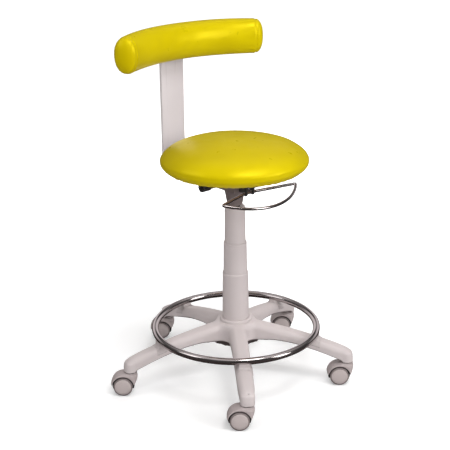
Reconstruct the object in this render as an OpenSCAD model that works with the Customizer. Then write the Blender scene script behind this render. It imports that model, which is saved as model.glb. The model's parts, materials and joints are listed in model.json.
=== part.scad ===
// Height-adjustable clinic stool: round seat, curved backrest bolster, chrome foot ring,
// telescopic gas-lift column and a five-arm base on twin-wheel castors.
// Millimetres. Origin on the floor under the column, +Z up, -Y is the sitter's front.

/* [Base] */
// Radius of the circle through the five castor stems
stem_circle_r = 300; // [285:1:315]
// Height of the underside of each arm tip above the floor
tip_z = 62; // [62:1:64]
// Width of an arm where it leaves the hub
arm_root_w = 46; // [44:1:48]
// Width of an arm at its tip
arm_tip_w = 39; // [36:1:40]
// Outer radius of the hub
hub_r = 44; // [42:1:48]
// Height of the hub's rim above the floor
hub_top_z = 160.5; // [160:0.5:164]

/* [Foot ring] */
// Radius of the foot ring to the middle of its tube
ring_r = 216; // [210:1:224]
// Radius of the foot ring's tube
ring_tube_r = 9; // [8:0.5:10]

/* [Column] */
// Top of the fixed lower cover
lower_cover_top = 293.5; // [288:0.5:297]
// Top of the middle cover at rest
mid_cover_top = 377.5; // [374:0.5:381]
// Top of the upper cover at rest
upper_cover_top = 475.5; // [473:0.5:477]
// Outer radius of the stand tube
stand_r = 25; // [25:0.5:25]
// Outer radius of the pressure tube
press_r = 14; // [14:0.5:14]
// Outer radius of the piston rod
rod_r = 5; // [4.5:0.5:5]

/* [Seat] */
// Largest radius of the seat cushion
seat_r = 190; // [180:1:200]
// Height of the crown of the seat above the floor
seat_top_z = 655.5; // [646:0.5:664]
// Height of the widest line of the seat above the floor
seat_rim_z = 603; // [600:0.5:606]
// Radius of the plywood seat board
board_r = 168; // [160:1:170]

/* [Release lever] */
// Radius of the lever's front bow
bow_r = 174; // [168:1:180]
// Half of the angle that the front bow spans
bow_half_angle = 47; // [44:0.5:50]
// Radius of the lever's wire
wire_r = 4; // [3.5:0.5:4]
// Droop of the lever's bow towards the front, in degrees
bow_droop = 19; // [12:0.5:22]

/* [Backrest] */
// Width of the flat steel backrest bar
bar_w = 75; // [70:1:78]
// Thickness of the backrest bar
bar_t = 8; // [8:0.5:8]
// Distance of the upright's front face behind the column
upright_y = 247; // [244:1:250]
// Height of the middle of the bolster above the floor
bolster_z = 872; // [864:0.5:882]
// Radius of the bolster's curved centreline
bolster_bend_r = 400; // [385:1:415]
// Half of the bolster's height
bolster_half_h = 47.5; // [45:0.5:49]
// Half of the bolster's depth
bolster_half_d = 31; // [30:0.5:33]
// Half of the angle that the bolster spans
bolster_half_angle = 34.8; // [32:0.1:36]

/* [Castors] */
// Radius of each castor wheel
wheel_r = 25; // [24:0.5:25]
// Distance of the wheel axle from the stem
trail = 19.5; // [18:0.5:21]
// Direction in which the castors trail at rest, in degrees from +X
trail_angle = 139.4; // [0:0.1:360]
// Outer radius of the wheel hood
hood_r = 32.5; // [31.5:0.5:33.5]

/* [Hidden] */

eps = 0.01;
fit = 0.05;                       // gap of every running or assembled fit
cut = 1;                          // overshoot of a cut past the face it opens
arms = 5;
arm_step = 360 / arms;
first_arm = 90;

off_white = [0.83, 0.79, 0.785];
grey_beige = [0.76, 0.72, 0.71];
taupe = [0.36, 0.32, 0.31];
yellow = [0.91, 0.82, 0.02];
black = [0.06, 0.06, 0.065];
steel = [0.62, 0.63, 0.65];
chrome = [0.80, 0.80, 0.82];

// Arm side profile: the top falls in a shallow curve, the underside is arched
arm_wall = 4;
arm_top_z = hub_top_z - 5;
arm_end_r = stem_circle_r + 17;
arm_corner = 15;
socket_r = 7.5;
socket_depth = 32;
sleeve_r = 28;
sleeve_bottom = 96;
hub_bottom = 96;
cover_seat_z = hub_top_z - 6;

function arm_top(r) = arm_top_z - 0.1276 * (r - 44) - 0.000367 * pow(r - 44, 2);
function arm_bottom(r) = 105.5 - 0.00122 * pow(r - 115, 2);
function arm_half_w(r) =
    (arm_root_w + (arm_tip_w - arm_root_w) * (r - hub_r) / (stem_circle_r - hub_r)) / 2;

ring_z = arm_top(ring_r) + ring_tube_r + 5;
saddle_half = 17;
saddle_skin = 1.6;
saddle_drop = 17;
screw_r = 2;

// Stem and swivel
stem_r = 5.5;
stem_bottom = 43;
stem_top = 92;
groove_r = 4.6;
groove_z = 82;
groove_h = 3;
hood_top = tip_z - 0.5;

// Gas lift
stand_wall = 2;
stand_bottom = 97;
stand_top = 331;
end_plate = 4;
race_t = 2;
ball_r = 1.95;
ball_count = 10;
ball_circle = 10;
race_r = 14;
lower_race_z = stand_bottom + end_plate + fit;
ball_z = lower_race_z + race_t + fit + ball_r;
upper_race_z = ball_z + ball_r + fit;
rod_collar_z = upper_race_z + race_t + fit;
piston_z = 326;
piston_h = 20;
press_bottom = 261;
press_top = 525.5;
press_wall = 1.5;
press_cap = 12;
button_r = 4;
button_top = 536.5;

// Telescopic covers, as outer radii and wall steps
lower_r0 = 35.45;
lower_r1 = 33.65;
lower_in = 32.6;
lower_lip = 32.0;
mid_r0 = 31.9;
mid_r1 = 30.25;
mid_in = 28.9;
mid_lip = 28.0;
mid_bottom = 257.5;
upper_r0 = 27.8;
upper_r1 = 26.7;
upper_in = 25.4;
upper_bottom = 348.5;
flange_h = 4;
lip_h = 5;
lip_bevel = 1.4;

// Seat carrier
housing_w = 42;
housing_front = -45;
housing_back = 75;
housing_floor = 527;
housing_top = 575.5;
sheet = 3;
cone_z = 480.5;
cone_r0 = 19.6;
cone_r1 = 28;
flange_w = 75;
seat_bolt_x = 62;
seat_bolt_y = [-38, 62];
board_z = housing_top + fit;
board_t = 12;
nut_r = 5.5;
nut_flange_r = 9;
nut_flange_t = 1.5;
bolt_r = 4;
seat_bottom_z = 577;
cover_t = 1.5;
hem_r = 150;

// Lever
hinge_x = -12;
hinge_y = -68;
hinge_z = 528.5;
rod_half = 18;
ear_gap = 20;
ear_t = 3;
ear_r = 7;
bow_x = 9;
bow_y = 34;
bow_turn = 1.4;
elbow_r = wire_r + 0.05;
tail_w = 8;
tail_t = 3;

// Backrest
bar_z = housing_floor + sheet + 0.1;
bar_start = 24;
bar_top_z = 900;
bend_in = 12;
bend_out = bend_in + bar_t;
core_t = 12;
core_half_h = 25;
core_back_r = bolster_bend_r + 22;
core_half_angle = 28.5;
bolster_cy = upright_y - fit - bolster_half_d - bolster_bend_r;
bolster_corner_r = 26;
bolster_bolt_x = 20;

// Clamp
clamp_y = 30;
clamp_z = bar_z + bar_t / 2;
boss_x = -52;
boss_r = 9;
pad_pocket_x = -44.5;
pad_r = 5.5;
pad_t = 3.2;
pad_x = -bar_w / 2 - 0.1;
knob_neck_x = -53;
knob_body_x = -62;
knob_end_x = -86;
knob_r = 11.5;
knob_flutes = 10;

// Castors
axle_r = 3;
web_half = 6.5;
hood_half_w = 20.5;
hood_gap_r = 27.8;
hood_skirt_z = 17;
wheel_in = 7.5;
wheel_out = 22;
cap_r = 20.3;
cap_bulge = 2.2;

function polar(r, a) = [r * cos(a), r * sin(a)];
function arm_angle(i) = first_arm + i * arm_step;

// ---------- base ----------

module each_arm() {
    for (i = [0:arms - 1])
        rotate(arm_angle(i)) children();
}

// The arm's side outline, drawn as radius against height and swollen by grow
module arm_side(r0, r1, grow, corner) {
    steps = 16;
    top = [for (k = [0:steps]) let (r = r0 + (r1 - corner - r0) * k / steps) [r, arm_top(r) + grow]];
    round = [for (a = [75:-15:0]) [r1 - corner + corner * cos(a), arm_top(r1 - corner) - corner
        + corner * sin(a) + grow]];
    under = [for (k = [steps:-1:0]) let (r = r0 + (stem_circle_r - 17 - r0) * k / steps)
        [r, arm_bottom(r) - grow]];
    polygon(concat(top, round, [[r1, tip_z], [stem_circle_r - 17, tip_z]], under));
}

// The arm's plan outline, with a round end
module arm_plan(r0, grow) {
    w0 = arm_half_w(r0) + grow;
    w1 = arm_tip_w / 2 + grow;
    polygon([[r0, -w0], [stem_circle_r, -w1], [stem_circle_r, w1], [r0, w0]]);
    translate([stem_circle_r, 0]) circle(r = w1, $fn = 48);
}

module arm_outer(grow = 0, r0 = 24) {
    intersection() {
        rotate([90, 0, 0])
            linear_extrude(height = 60, center = true)
                arm_side(r0, arm_end_r + grow, grow, arm_corner);
        translate([0, 0, 40]) linear_extrude(height = 140) arm_plan(r0, grow);
    }
}

// The hollow under the arm, between the hub and the tip boss
module arm_hollow() {
    r0 = 56;
    r1 = stem_circle_r - 24;
    top = [for (k = [0:12]) let (r = r0 + (r1 - r0) * k / 12) [r, arm_top(r) - arm_wall - 1]];
    intersection() {
        rotate([90, 0, 0])
            linear_extrude(height = 60, center = true)
                polygon(concat(top, [[r1, 40], [r0, 40]]));
        translate([0, 0, 30])
            linear_extrude(height = 140)
                polygon([[r0, -arm_half_w(r0) + arm_wall], [r1, -arm_half_w(r1) + arm_wall],
                    [r1, arm_half_w(r1) - arm_wall], [r0, arm_half_w(r0) - arm_wall]]);
    }
}

// Five hollow arms around a bored hub, moulded in one piece
module star_base() {
    rim = 4;
    color(off_white)
    difference() {
        union() {
            rotate_extrude($fn = 96) {
                translate([20, hub_bottom]) square([hub_r - 20, hub_top_z - rim - hub_bottom]);
                translate([20, hub_bottom]) square([hub_r - rim - 20, hub_top_z - hub_bottom]);
                translate([hub_r - rim, hub_top_z - rim]) circle(r = rim, $fn = 32);
            }
            each_arm() arm_outer();
        }
        each_arm() {
            arm_hollow();
            translate([stem_circle_r, 0, tip_z - cut])
                cylinder(r = socket_r + fit, h = socket_depth + cut + fit, $fn = 48);
            translate([ring_r, 0, 90]) cylinder(r = screw_r + 0.3, h = 60, $fn = 32);
        }
        translate([0, 0, hub_bottom - cut])
            cylinder(r = sleeve_r + fit, h = 100, $fn = 64);
        translate([0, 0, cover_seat_z]) cylinder(r = lower_r0 + 0.4, h = 20, $fn = 64);
    }
}

// Steel sleeve moulded into the hub, gripping the stand tube
module hub_sleeve() {
    color(steel) translate([0, 0, sleeve_bottom])
        pipe(sleeve_r, stand_r + fit, cover_seat_z - fit - sleeve_bottom);
}

// A plain tube standing on the floor of its own place
module pipe(r_out, r_in, h) {
    difference() {
        cylinder(r = r_out, h = h, $fn = 64);
        translate([0, 0, -cut]) cylinder(r = r_in, h = h + 2 * cut, $fn = 64);
    }
}

module torus(r_path, r_tube) {
    rotate_extrude($fn = 96) translate([r_path, 0]) circle(r = r_tube, $fn = 48);
}

// Chrome ring for the feet
module foot_ring() {
    color(chrome) translate([0, 0, ring_z]) torus(ring_r, ring_tube_r);
}

// Cradle that straddles each arm and carries the foot ring
module ring_saddles() {
    top = arm_top(ring_r);
    half_w = arm_half_w(ring_r - saddle_half) + saddle_skin;
    color(off_white)
    difference() {
        each_arm()
            translate([ring_r - saddle_half, -half_w, top - saddle_drop])
                cube([2 * saddle_half, 2 * half_w, saddle_drop + 10]);
        each_arm() {
            arm_outer(fit, 60);
            saddle_slopes(top);
            translate([ring_r, 0, top - cut])
                cylinder(r = screw_r + fit, h = 4.6 + cut, $fn = 32);
        }
        translate([0, 0, ring_z]) torus(ring_r, ring_tube_r + fit);
    }
}

// Bevels that leave the saddle thin at its inner and outer ends
module saddle_slopes(top) {
    rotate([90, 0, 0])
        linear_extrude(height = 80, center = true) {
            polygon([[ring_r + 9, top + 12], [ring_r + 12, top + 1.5], [ring_r + 40, top - 6.5],
                [ring_r + 40, top + 12]]);
            polygon([[ring_r - 9, top + 12], [ring_r - 12, top + 5], [ring_r - 40, top + 10.5],
                [ring_r - 40, top + 12]]);
        }
}

// Pan-head screw from inside each hollow arm up into its saddle
module saddle_screws() {
    ceiling = arm_top(ring_r + 6) - arm_wall - 1;
    color(steel) each_arm() translate([ring_r, 0, 0]) {
        translate([0, 0, ceiling - 3.2]) cylinder(r = 4.5, h = 3, $fn = 32);
        translate([0, 0, ceiling - 1])
            cylinder(r = screw_r, h = arm_top(ring_r) + 4.4 - ceiling + 1, $fn = 32);
    }
}

// Steel socket pressed into each arm tip
module stem_sockets() {
    color(steel) each_arm() translate([stem_circle_r, 0, tip_z])
        pipe(socket_r, stem_r + fit, socket_depth);
}

// Castor stem, held in the socket by its spring ring
module caster_stems() {
    color(steel) each_arm() translate([stem_circle_r, 0, 0])
        difference() {
            translate([0, 0, stem_bottom]) cylinder(r = stem_r, h = stem_top - stem_bottom, $fn = 48);
            translate([0, 0, groove_z])
                difference() {
                    cylinder(r = stem_r + cut, h = groove_h, $fn = 48);
                    cylinder(r = groove_r, h = groove_h, $fn = 48);
                }
        }
}

// Spring ring in each stem's groove
module stem_rings() {
    color(steel) each_arm() translate([stem_circle_r, 0, groove_z + fit])
        pipe(stem_r, groove_r + fit, groove_h - 2 * fit);
}

// Outer tube of the gas lift, fixed in the hub
module stand_tube() {
    color(black) translate([0, 0, stand_bottom])
        difference() {
            cylinder(r = stand_r, h = stand_top - stand_bottom, $fn = 64);
            translate([0, 0, end_plate])
                cylinder(r = stand_r - stand_wall, h = stand_top, $fn = 64);
            translate([0, 0, -cut]) cylinder(r = rod_r + fit, h = end_plate + 2 * cut, $fn = 48);
        }
}

// Plastic bush that guides the pressure tube
module guide_bush() {
    bush_bottom = 251;
    color(black) difference() {
        union() {
            translate([0, 0, bush_bottom])
                cylinder(r = stand_r - stand_wall - fit, h = stand_top - bush_bottom + 1, $fn = 64);
            translate([0, 0, stand_top + fit]) cylinder(r = stand_r - 0.1, h = 3, $fn = 64);
        }
        translate([0, 0, bush_bottom - cut]) cylinder(r = press_r + fit, h = 90, $fn = 64);
    }
}

// Outline of one cover section: tapered outside, straight bore, inward lip at the top
module cover_half(r0, r1, r_in, r_lip, z0, z1) {
    difference() {
        polygon([[r_lip, z0], [r0, z0], [r1, z1 - lip_bevel], [r1 - lip_bevel, z1], [r_lip, z1]]);
        translate([0, z0 - cut]) square([r_in, z1 - z0 - lip_h + cut]);
    }
}

// Fixed bottom section of the column cover
module cover_lower() {
    color(off_white) rotate_extrude($fn = 96)
        cover_half(lower_r0, lower_r1, lower_in, lower_lip, cover_seat_z + fit, lower_cover_top);
}

// Bearing washer on the stand tube's end plate
module lower_race() {
    color(steel) translate([0, 0, lower_race_z]) pipe(race_r, rod_r + 1, race_t);
}

// ---------- piston rod ----------

// Rod that hangs the lift on the stand tube and turns with the seat
module piston_rod() {
    rod_bottom = stand_bottom - 5;
    neck_r = 3;
    clip_z = stand_bottom - 3;
    color(chrome) difference() {
        union() {
            translate([0, 0, rod_bottom]) cylinder(r = rod_r, h = piston_z - rod_bottom, $fn = 48);
            translate([0, 0, piston_z - cut]) cylinder(r = neck_r, h = piston_h + 3, $fn = 48);
            translate([0, 0, rod_collar_z]) cylinder(r = 8, h = 3, $fn = 48);
        }
        translate([0, 0, clip_z]) pipe(rod_r + cut, rod_r - 1, 2);
    }
}

// Piston on the rod's top, sealing inside the pressure tube
module piston() {
    color(black) difference() {
        translate([0, 0, piston_z + fit])
            cylinder(r = press_r - press_wall - fit, h = piston_h, $fn = 64);
        translate([0, 0, piston_z - cut]) cylinder(r = 3 + fit, h = piston_h + 3, $fn = 48);
        translate([0, 0, piston_z + piston_h / 2])
            pipe(press_r, press_r - press_wall - 1.5, 3);
    }
}

// Balls between the two bearing washers
module bearing_balls() {
    color(steel) for (k = [0:ball_count - 1])
        rotate(k * 360 / ball_count) translate([ball_circle, 0, ball_z]) sphere(r = ball_r, $fn = 32);
}

// Bearing washer under the rod's collar
module upper_race() {
    color(steel) translate([0, 0, upper_race_z]) pipe(race_r, rod_r + fit, race_t);
}

// Clip in the rod's groove, under the stand tube
module rod_clip() {
    color(steel) translate([0, 0, stand_bottom - 3 + fit]) pipe(9, rod_r - 1 + fit, 2 - 2 * fit);
}

// ---------- middle cover ----------

// Sliding middle section of the column cover
module cover_mid() {
    straight_top = 296;
    color(off_white) rotate_extrude($fn = 96) {
        difference() {
            polygon([[mid_lip, mid_bottom], [lower_in - 0.1, mid_bottom],
                [lower_in - 0.1, mid_bottom + flange_h], [mid_r0, mid_bottom + flange_h],
                [mid_r0, straight_top], [mid_r1, mid_cover_top - lip_bevel],
                [mid_r1 - lip_bevel, mid_cover_top], [mid_lip, mid_cover_top]]);
            translate([0, mid_bottom - cut])
                square([mid_in, mid_cover_top - lip_h - mid_bottom + cut]);
        }
    }
}

// ---------- seat carrier ----------

// Moving tube of the gas lift, closed at the top around the valve
module pressure_tube() {
    color(black) difference() {
        translate([0, 0, press_bottom]) cylinder(r = press_r, h = press_top - press_bottom, $fn = 64);
        translate([0, 0, press_bottom - cut])
            cylinder(r = press_r - press_wall, h = press_top - press_cap - press_bottom + cut, $fn = 64);
        translate([0, 0, press_top - press_cap - cut])
            cylinder(r = button_r + fit, h = press_cap + 2 * cut, $fn = 48);
    }
}

// Seal and guide where the rod enters the pressure tube
module rod_seal() {
    color(black) translate([0, 0, press_bottom + 1])
        pipe(press_r - press_wall - fit, rod_r + fit, 20);
}

// Top section of the column cover, carried by the pressure tube
module cover_upper() {
    end_wall = 4;
    color(off_white) rotate_extrude($fn = 96)
        difference() {
            polygon([[press_r + fit, upper_bottom], [mid_in - 0.1, upper_bottom],
                [mid_in - 0.1, upper_bottom + flange_h], [upper_r0, upper_bottom + flange_h],
                [upper_r1, upper_cover_top - lip_bevel], [upper_r1 - lip_bevel, upper_cover_top],
                [press_r + fit, upper_cover_top]]);
            translate([0, upper_bottom - cut])
                square([upper_in, upper_cover_top - end_wall - upper_bottom + cut]);
        }
}

// Square plate with round corners
module round_plate(x, y0, y1, r, h) {
    linear_extrude(height = h) {
        translate([-x, y0 + r]) square([2 * x, y1 - y0 - 2 * r]);
        translate([-x + r, y0]) square([2 * x - 2 * r, y1 - y0]);
        for (sx = [-1, 1], y = [y0 + r, y1 - r])
            translate([sx * (x - r), y]) circle(r = r, $fn = 32);
    }
}

// Steel channel under the seat: cone for the gas lift, tunnel for the backrest bar
module seat_housing() {
    inner_w = housing_w - sheet;
    length = housing_back - housing_front;
    color(taupe) difference() {
        union() {
            translate([-housing_w, housing_front, housing_floor])
                cube([2 * housing_w, length, housing_top - housing_floor]);
            translate([0, 0, housing_top - sheet])
                round_plate(flange_w, housing_front - 8, housing_back + 5, 14, sheet);
            translate([0, 0, cone_z])
                cylinder(r1 = cone_r0, r2 = cone_r1, h = housing_floor - cone_z, $fn = 64);
            translate([boss_x, clamp_y, clamp_z]) rotate([0, 90, 0])
                cylinder(r = boss_r, h = -inner_w - boss_x, $fn = 48);
        }
        translate([-inner_w, housing_front + sheet, housing_floor + sheet])
            cube([2 * inner_w, length, housing_top - housing_floor - 2 * sheet]);
        translate([0, 0, cone_z - cut]) cylinder(r = press_r + fit, h = 60, $fn = 64);
        translate([hinge_x - ear_gap / 2, housing_front - cut, housing_floor + sheet])
            cube([ear_gap, 10, 15]);
        translate([boss_x - cut, clamp_y, clamp_z]) rotate([0, 90, 0])
            cylinder(r = bolt_r + fit, h = 20, $fn = 48);
        translate([pad_pocket_x, clamp_y, clamp_z]) rotate([0, 90, 0])
            cylinder(r = pad_r + 0.1, h = 8, $fn = 48);
        for (x = [-seat_bolt_x, seat_bolt_x], y = seat_bolt_y)
            translate([x, y, housing_top - 10]) cylinder(r = bolt_r + 0.4, h = 20, $fn = 48);
    }
}

// Forked bracket on the housing's front that carries the lever's hinge
module lever_bracket() {
    top_z = 541.5;
    bridge = 4;
    reach = housing_front - fit - hinge_y;
    outer = ear_gap / 2 + ear_t;
    color(black) translate([hinge_x, hinge_y, 0]) difference() {
        union() {
            translate([-outer, 0, hinge_z]) rotate([0, 90, 0]) cylinder(r = ear_r, h = 2 * outer, $fn = 48);
            translate([-outer, -ear_r, hinge_z]) cube([2 * outer, reach + ear_r, top_z + bridge - hinge_z]);
            translate([-4, reach - 6, top_z]) cube([8, 6, housing_top - sheet - fit - top_z]);
        }
        translate([-ear_gap / 2, -ear_r - cut, hinge_z - ear_r - cut])
            cube([ear_gap, reach + ear_r + 2 * cut, top_z - hinge_z + ear_r + cut]);
        translate([-outer - cut, 0, hinge_z]) rotate([0, 90, 0])
            cylinder(r = wire_r + fit, h = 2 * outer + 2 * cut, $fn = 48);
    }
}

// Plastic guide that holds the backrest bar down on the housing floor
module bar_guide() {
    guide_w = bar_w - 0.6;
    color(black) translate([-guide_w / 2, bar_start + 4, bar_z + bar_t + fit])
        cube([guide_w, housing_back - bar_start - 6, 10]);
}

module seat_bolt_places() {
    for (x = [-seat_bolt_x, seat_bolt_x], y = seat_bolt_y)
        translate([x, y, 0]) children();
}

// Plywood disc under the foam
module seat_board() {
    color([0.80, 0.66, 0.45]) difference() {
        translate([0, 0, board_z]) cylinder(r = board_r, h = board_t, $fn = 96);
        seat_bolt_places() {
            translate([0, 0, board_z - cut]) cylinder(r = nut_r + fit, h = board_t + 2 * cut, $fn = 48);
            translate([0, 0, board_z + board_t - nut_flange_t - fit])
                cylinder(r = nut_flange_r + fit, h = 5, $fn = 48);
        }
    }
}

// Seat outline for one half: crowned top, rounded rim, tucked-under lower edge
function crown(r, top, rim_z, rim_r) =
    [r, rim_z + (top - rim_z) * pow(1 - pow(r / rim_r, 2.3), 0.62)];
function tuck(a, rim_r, rim_z, bottom) =
    [rim_r - 24 + 24 * cos(a), rim_z - (rim_z - bottom) * sin(a)];

module seat_half(inset) {
    rim = seat_r - inset;
    top = seat_top_z - inset;
    bottom = seat_bottom_z + inset;
    polygon(concat(
        [[0, bottom], [0, top]],
        [for (k = [1:23]) crown(rim * sin(90 * k / 24), top, seat_rim_z, rim)],
        [for (a = [0:15:90]) tuck(a, rim, seat_rim_z, bottom)]));
}

// Foam of the seat, resting on the board
module seat_foam() {
    color([0.93, 0.90, 0.72]) rotate_extrude($fn = 96)
        difference() {
            seat_half(cover_t + fit);
            square([board_r + fit, board_z + board_t + fit]);
        }
}

// Vinyl cover, pulled under the board's edge
module seat_cover() {
    color(yellow) rotate_extrude($fn = 96)
        difference() {
            union() {
                seat_half(0);
                translate([hem_r, board_z - cover_t - fit])
                    square([seat_r - 24 - hem_r, seat_bottom_z - board_z + cover_t + fit + eps]);
            }
            seat_half(cover_t);
            translate([0, board_z - fit]) square([board_r + fit, 20]);
            translate([0, board_z - 10]) square([hem_r, 20]);
        }
}

// Bolts up through the housing flange
module seat_bolts() {
    color(steel) seat_bolt_places() {
        translate([0, 0, housing_top - sheet - fit - 5]) cylinder(r = 6.5, h = 5, $fn = 48);
        translate([0, 0, housing_top - sheet - 3]) cylinder(r = bolt_r, h = 14.5, $fn = 48);
    }
}

// Flanged nuts let into the board from above
module seat_nuts() {
    color(steel) seat_bolt_places()
        translate([0, 0, board_z])
            difference() {
                union() {
                    cylinder(r = nut_r, h = board_t - fit, $fn = 48);
                    translate([0, 0, board_t - nut_flange_t])
                        cylinder(r = nut_flange_r, h = nut_flange_t - fit, $fn = 48);
                }
                translate([0, 0, -cut]) cylinder(r = bolt_r + fit, h = board_t + 2 * cut, $fn = 48);
            }
}

// ---------- controls ----------

// Valve button in the top of the pressure tube
module gas_button() {
    color(steel) {
        translate([0, 0, press_top - press_cap - 4]) {
            cylinder(r = button_r, h = button_top - press_top + press_cap + 4, $fn = 48);
            cylinder(r = 6, h = 4 - fit, $fn = 48);
        }
    }
}

// Straight wire between two points
module wire(a, b) {
    d = b - a;
    translate(a)
        rotate([0, acos(d[2] / norm(d)), atan2(d[1], d[0])])
            cylinder(r = wire_r, h = norm(d), $fn = 32);
}

// Ball that rounds a corner of the wire, with its seam turned to the outside of the corner
module elbow(p, turn) {
    translate(p) rotate([0, 0, turn]) sphere(r = elbow_r, $fn = 32);
}

// Chrome wire bow with its hinge rod, and the tail that presses the valve button
module release_lever() {
    color(chrome) {
        translate([0, hinge_y, hinge_z]) rotate([bow_droop, 0, 0]) {
            translate([bow_x, bow_y - hinge_y, 0])
                rotate_extrude(angle = 2 * bow_half_angle, start = 270 + bow_turn - bow_half_angle, $fn = 96)
                    translate([bow_r, 0]) circle(r = wire_r, $fn = 32);
            for (s = [-1, 1]) {
                end_a = bow_turn + s * bow_half_angle;
                end = [bow_x + bow_r * sin(end_a), bow_y - hinge_y - bow_r * cos(end_a), 0];
                wire(end, [hinge_x + s * rod_half, 0, 0]);
                elbow(end, 90 - s * 90);
                elbow([hinge_x + s * rod_half, 0, 0], 90);
            }
            translate([hinge_x, 0, 0]) rotate([0, 90, 0])
                cylinder(r = wire_r, h = 2 * rod_half, center = true, $fn = 48);
        }
        translate([hinge_x - tail_w / 2, hinge_y - 2, hinge_z])
            cube([tail_w, 4, button_top + fit + tail_t - hinge_z]);
        translate([hinge_x - tail_w / 2, hinge_y, button_top + fit]) {
            cube([tail_w, -hinge_y, tail_t]);
            translate([0, -hinge_y - press_r, 0])
                cube([-hinge_x + tail_w / 2 + button_r, press_r, tail_t]);
        }
    }
}

// Pressure pad between the clamp screw and the bar's edge
module clamp_pad() {
    color([0.75, 0.62, 0.30]) translate([pad_x - pad_t, clamp_y, clamp_z]) rotate([0, 90, 0])
        cylinder(r = pad_r, h = pad_t, $fn = 48);
}

// Threaded spindle of the clamp
module clamp_screw() {
    screw_end = knob_end_x + 10;
    color(steel) translate([screw_end, clamp_y, clamp_z]) rotate([0, 90, 0])
        cylinder(r = bolt_r, h = pad_x - pad_t - fit - screw_end, $fn = 48);
}

// Fluted black hand knob on the clamp's spindle
module clamp_knob() {
    flute_r = 3;
    color(black) translate([0, clamp_y, clamp_z]) rotate([0, -90, 0])
        difference() {
            rotate_extrude($fn = 64)
                polygon([[0, -knob_neck_x], [8, -knob_neck_x], [knob_r - 1.5, -knob_body_x],
                    [knob_r, -knob_body_x + 1.5], [knob_r, -knob_end_x - 3],
                    [knob_r - 3, -knob_end_x], [0, -knob_end_x]]);
            translate([0, 0, -knob_neck_x - cut])
                cylinder(r = bolt_r + fit, h = knob_neck_x - knob_end_x - 10 + cut + fit, $fn = 48);
            for (k = [0:knob_flutes - 1])
                rotate(k * 360 / knob_flutes) translate([knob_r + flute_r - 1, 0, -knob_body_x + 4])
                    cylinder(r = flute_r, h = 40, $fn = 32);
        }
}

// ---------- backrest ----------

// Side outline of the bent flat bar, as distance behind the column against height
module bar_side() {
    cy = upright_y + bar_t - bend_out;
    cz = bar_z + bend_out;
    translate([bar_start, bar_z]) square([cy - bar_start, bar_t]);
    translate([upright_y, cz]) square([bar_t, bar_top_z - cz]);
    intersection() {
        difference() {
            translate([cy, cz]) circle(r = bend_out, $fn = 64);
            translate([cy, cz]) circle(r = bend_in, $fn = 64);
        }
        translate([cy, bar_z]) square([bend_out, bend_out]);
    }
}

// Flat steel bar that carries the bolster
module back_bar() {
    color(off_white) difference() {
        rotate([90, 0, 90]) linear_extrude(height = bar_w, center = true) bar_side();
        for (s = [-1, 1]) {
            translate([s * bolster_bolt_x, 0, bolster_z]) {
                translate([0, upright_y - cut, 0]) rotate([-90, 0, 0])
                    cylinder(r = bolt_r + 0.3, h = bar_t + 2 * cut, $fn = 48);
                translate([0, upright_y + bar_t - 3.9, 0]) rotate([-90, 0, 0])
                    cylinder(r1 = bolt_r + 0.3, r2 = 8.4, h = 4, $fn = 48);
            }
            translate([s * bar_w / 2, 0, bar_top_z]) rotate([0, 45, 0])
                cube([12, 600, 12], center = true);
        }
    }
}

// A slice of a ring about the bolster's bend axis, facing the back of the stool
module bolster_sweep(half_angle) {
    translate([0, bolster_cy, bolster_z])
        rotate_extrude(angle = 2 * half_angle, start = 90 - half_angle, $fn = 96) children();
}

// Rounded section of the bolster
module bolster_section(inset) {
    x = bolster_half_d - bolster_corner_r;
    y = bolster_half_h - bolster_corner_r;
    translate([bolster_bend_r, 0]) {
        for (sx = [-1, 1], sy = [-1, 1])
            translate([sx * x, sy * y]) circle(r = bolster_corner_r - inset, $fn = 48);
        square([2 * x, 2 * (bolster_half_h - inset)], center = true);
        square([2 * (bolster_half_d - inset), 2 * y], center = true);
    }
}

module bolster_bolt_places() {
    for (s = [-1, 1])
        translate([s * bolster_bolt_x, 0, bolster_z]) rotate([-90, 0, 0]) children();
}

// Bent plywood board inside the bolster
module bolster_core() {
    color([0.80, 0.66, 0.45]) difference() {
        bolster_sweep(core_half_angle)
            translate([core_back_r - core_t, -core_half_h]) square([core_t, 2 * core_half_h]);
        bolster_bolt_places() translate([0, 0, 200]) cylinder(r = nut_r + fit, h = 60, $fn = 48);
    }
}

// Foam around the board
module bolster_foam() {
    color([0.93, 0.90, 0.72]) difference() {
        bolster_sweep(bolster_half_angle - 0.6) bolster_section(cover_t + fit);
        bolster_sweep(core_half_angle + 0.05)
            translate([core_back_r - core_t - fit, -core_half_h - fit])
                square([core_t + 2 * fit, 2 * core_half_h + 2 * fit]);
        bolster_bolt_places() translate([0, 0, 200]) cylinder(r = nut_r + 1, h = 60, $fn = 48);
    }
}

// Vinyl cover of the bolster, closed at both ends
module bolster_cover() {
    color(yellow) difference() {
        bolster_sweep(bolster_half_angle) bolster_section(0);
        bolster_sweep(bolster_half_angle - 0.5) bolster_section(cover_t);
        bolster_bolt_places() translate([0, 0, 230]) cylinder(r = bolt_r + 1, h = 60, $fn = 48);
    }
}

// Countersunk bolts through the upright
module bolster_bolts() {
    shank = 22;
    back = upright_y + bar_t;
    color(steel) bolster_bolt_places() {
        translate([0, 0, back - 3.9]) cylinder(r1 = bolt_r, r2 = 7.9, h = 3.85, $fn = 48);
        translate([0, 0, back - bar_t - shank]) cylinder(r = bolt_r, h = shank + bar_t - 3.5, $fn = 48);
    }
}

// Barrel nuts in the bolster's board
module bolster_nuts() {
    inner = bolster_cy + sqrt(pow(core_back_r - core_t, 2) - pow(bolster_bolt_x + nut_r, 2));
    color(steel) bolster_bolt_places() translate([0, 0, inner])
        pipe(nut_r, bolt_r + fit, core_t - 2);
}

// ---------- castors ----------

// Puts one castor, drawn trailing along +X with its stem at the origin, under arm i
module caster_place(i) {
    translate([for (v = polar(stem_circle_r, arm_angle(i))) v])
        rotate(trail_angle) children();
}

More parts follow.
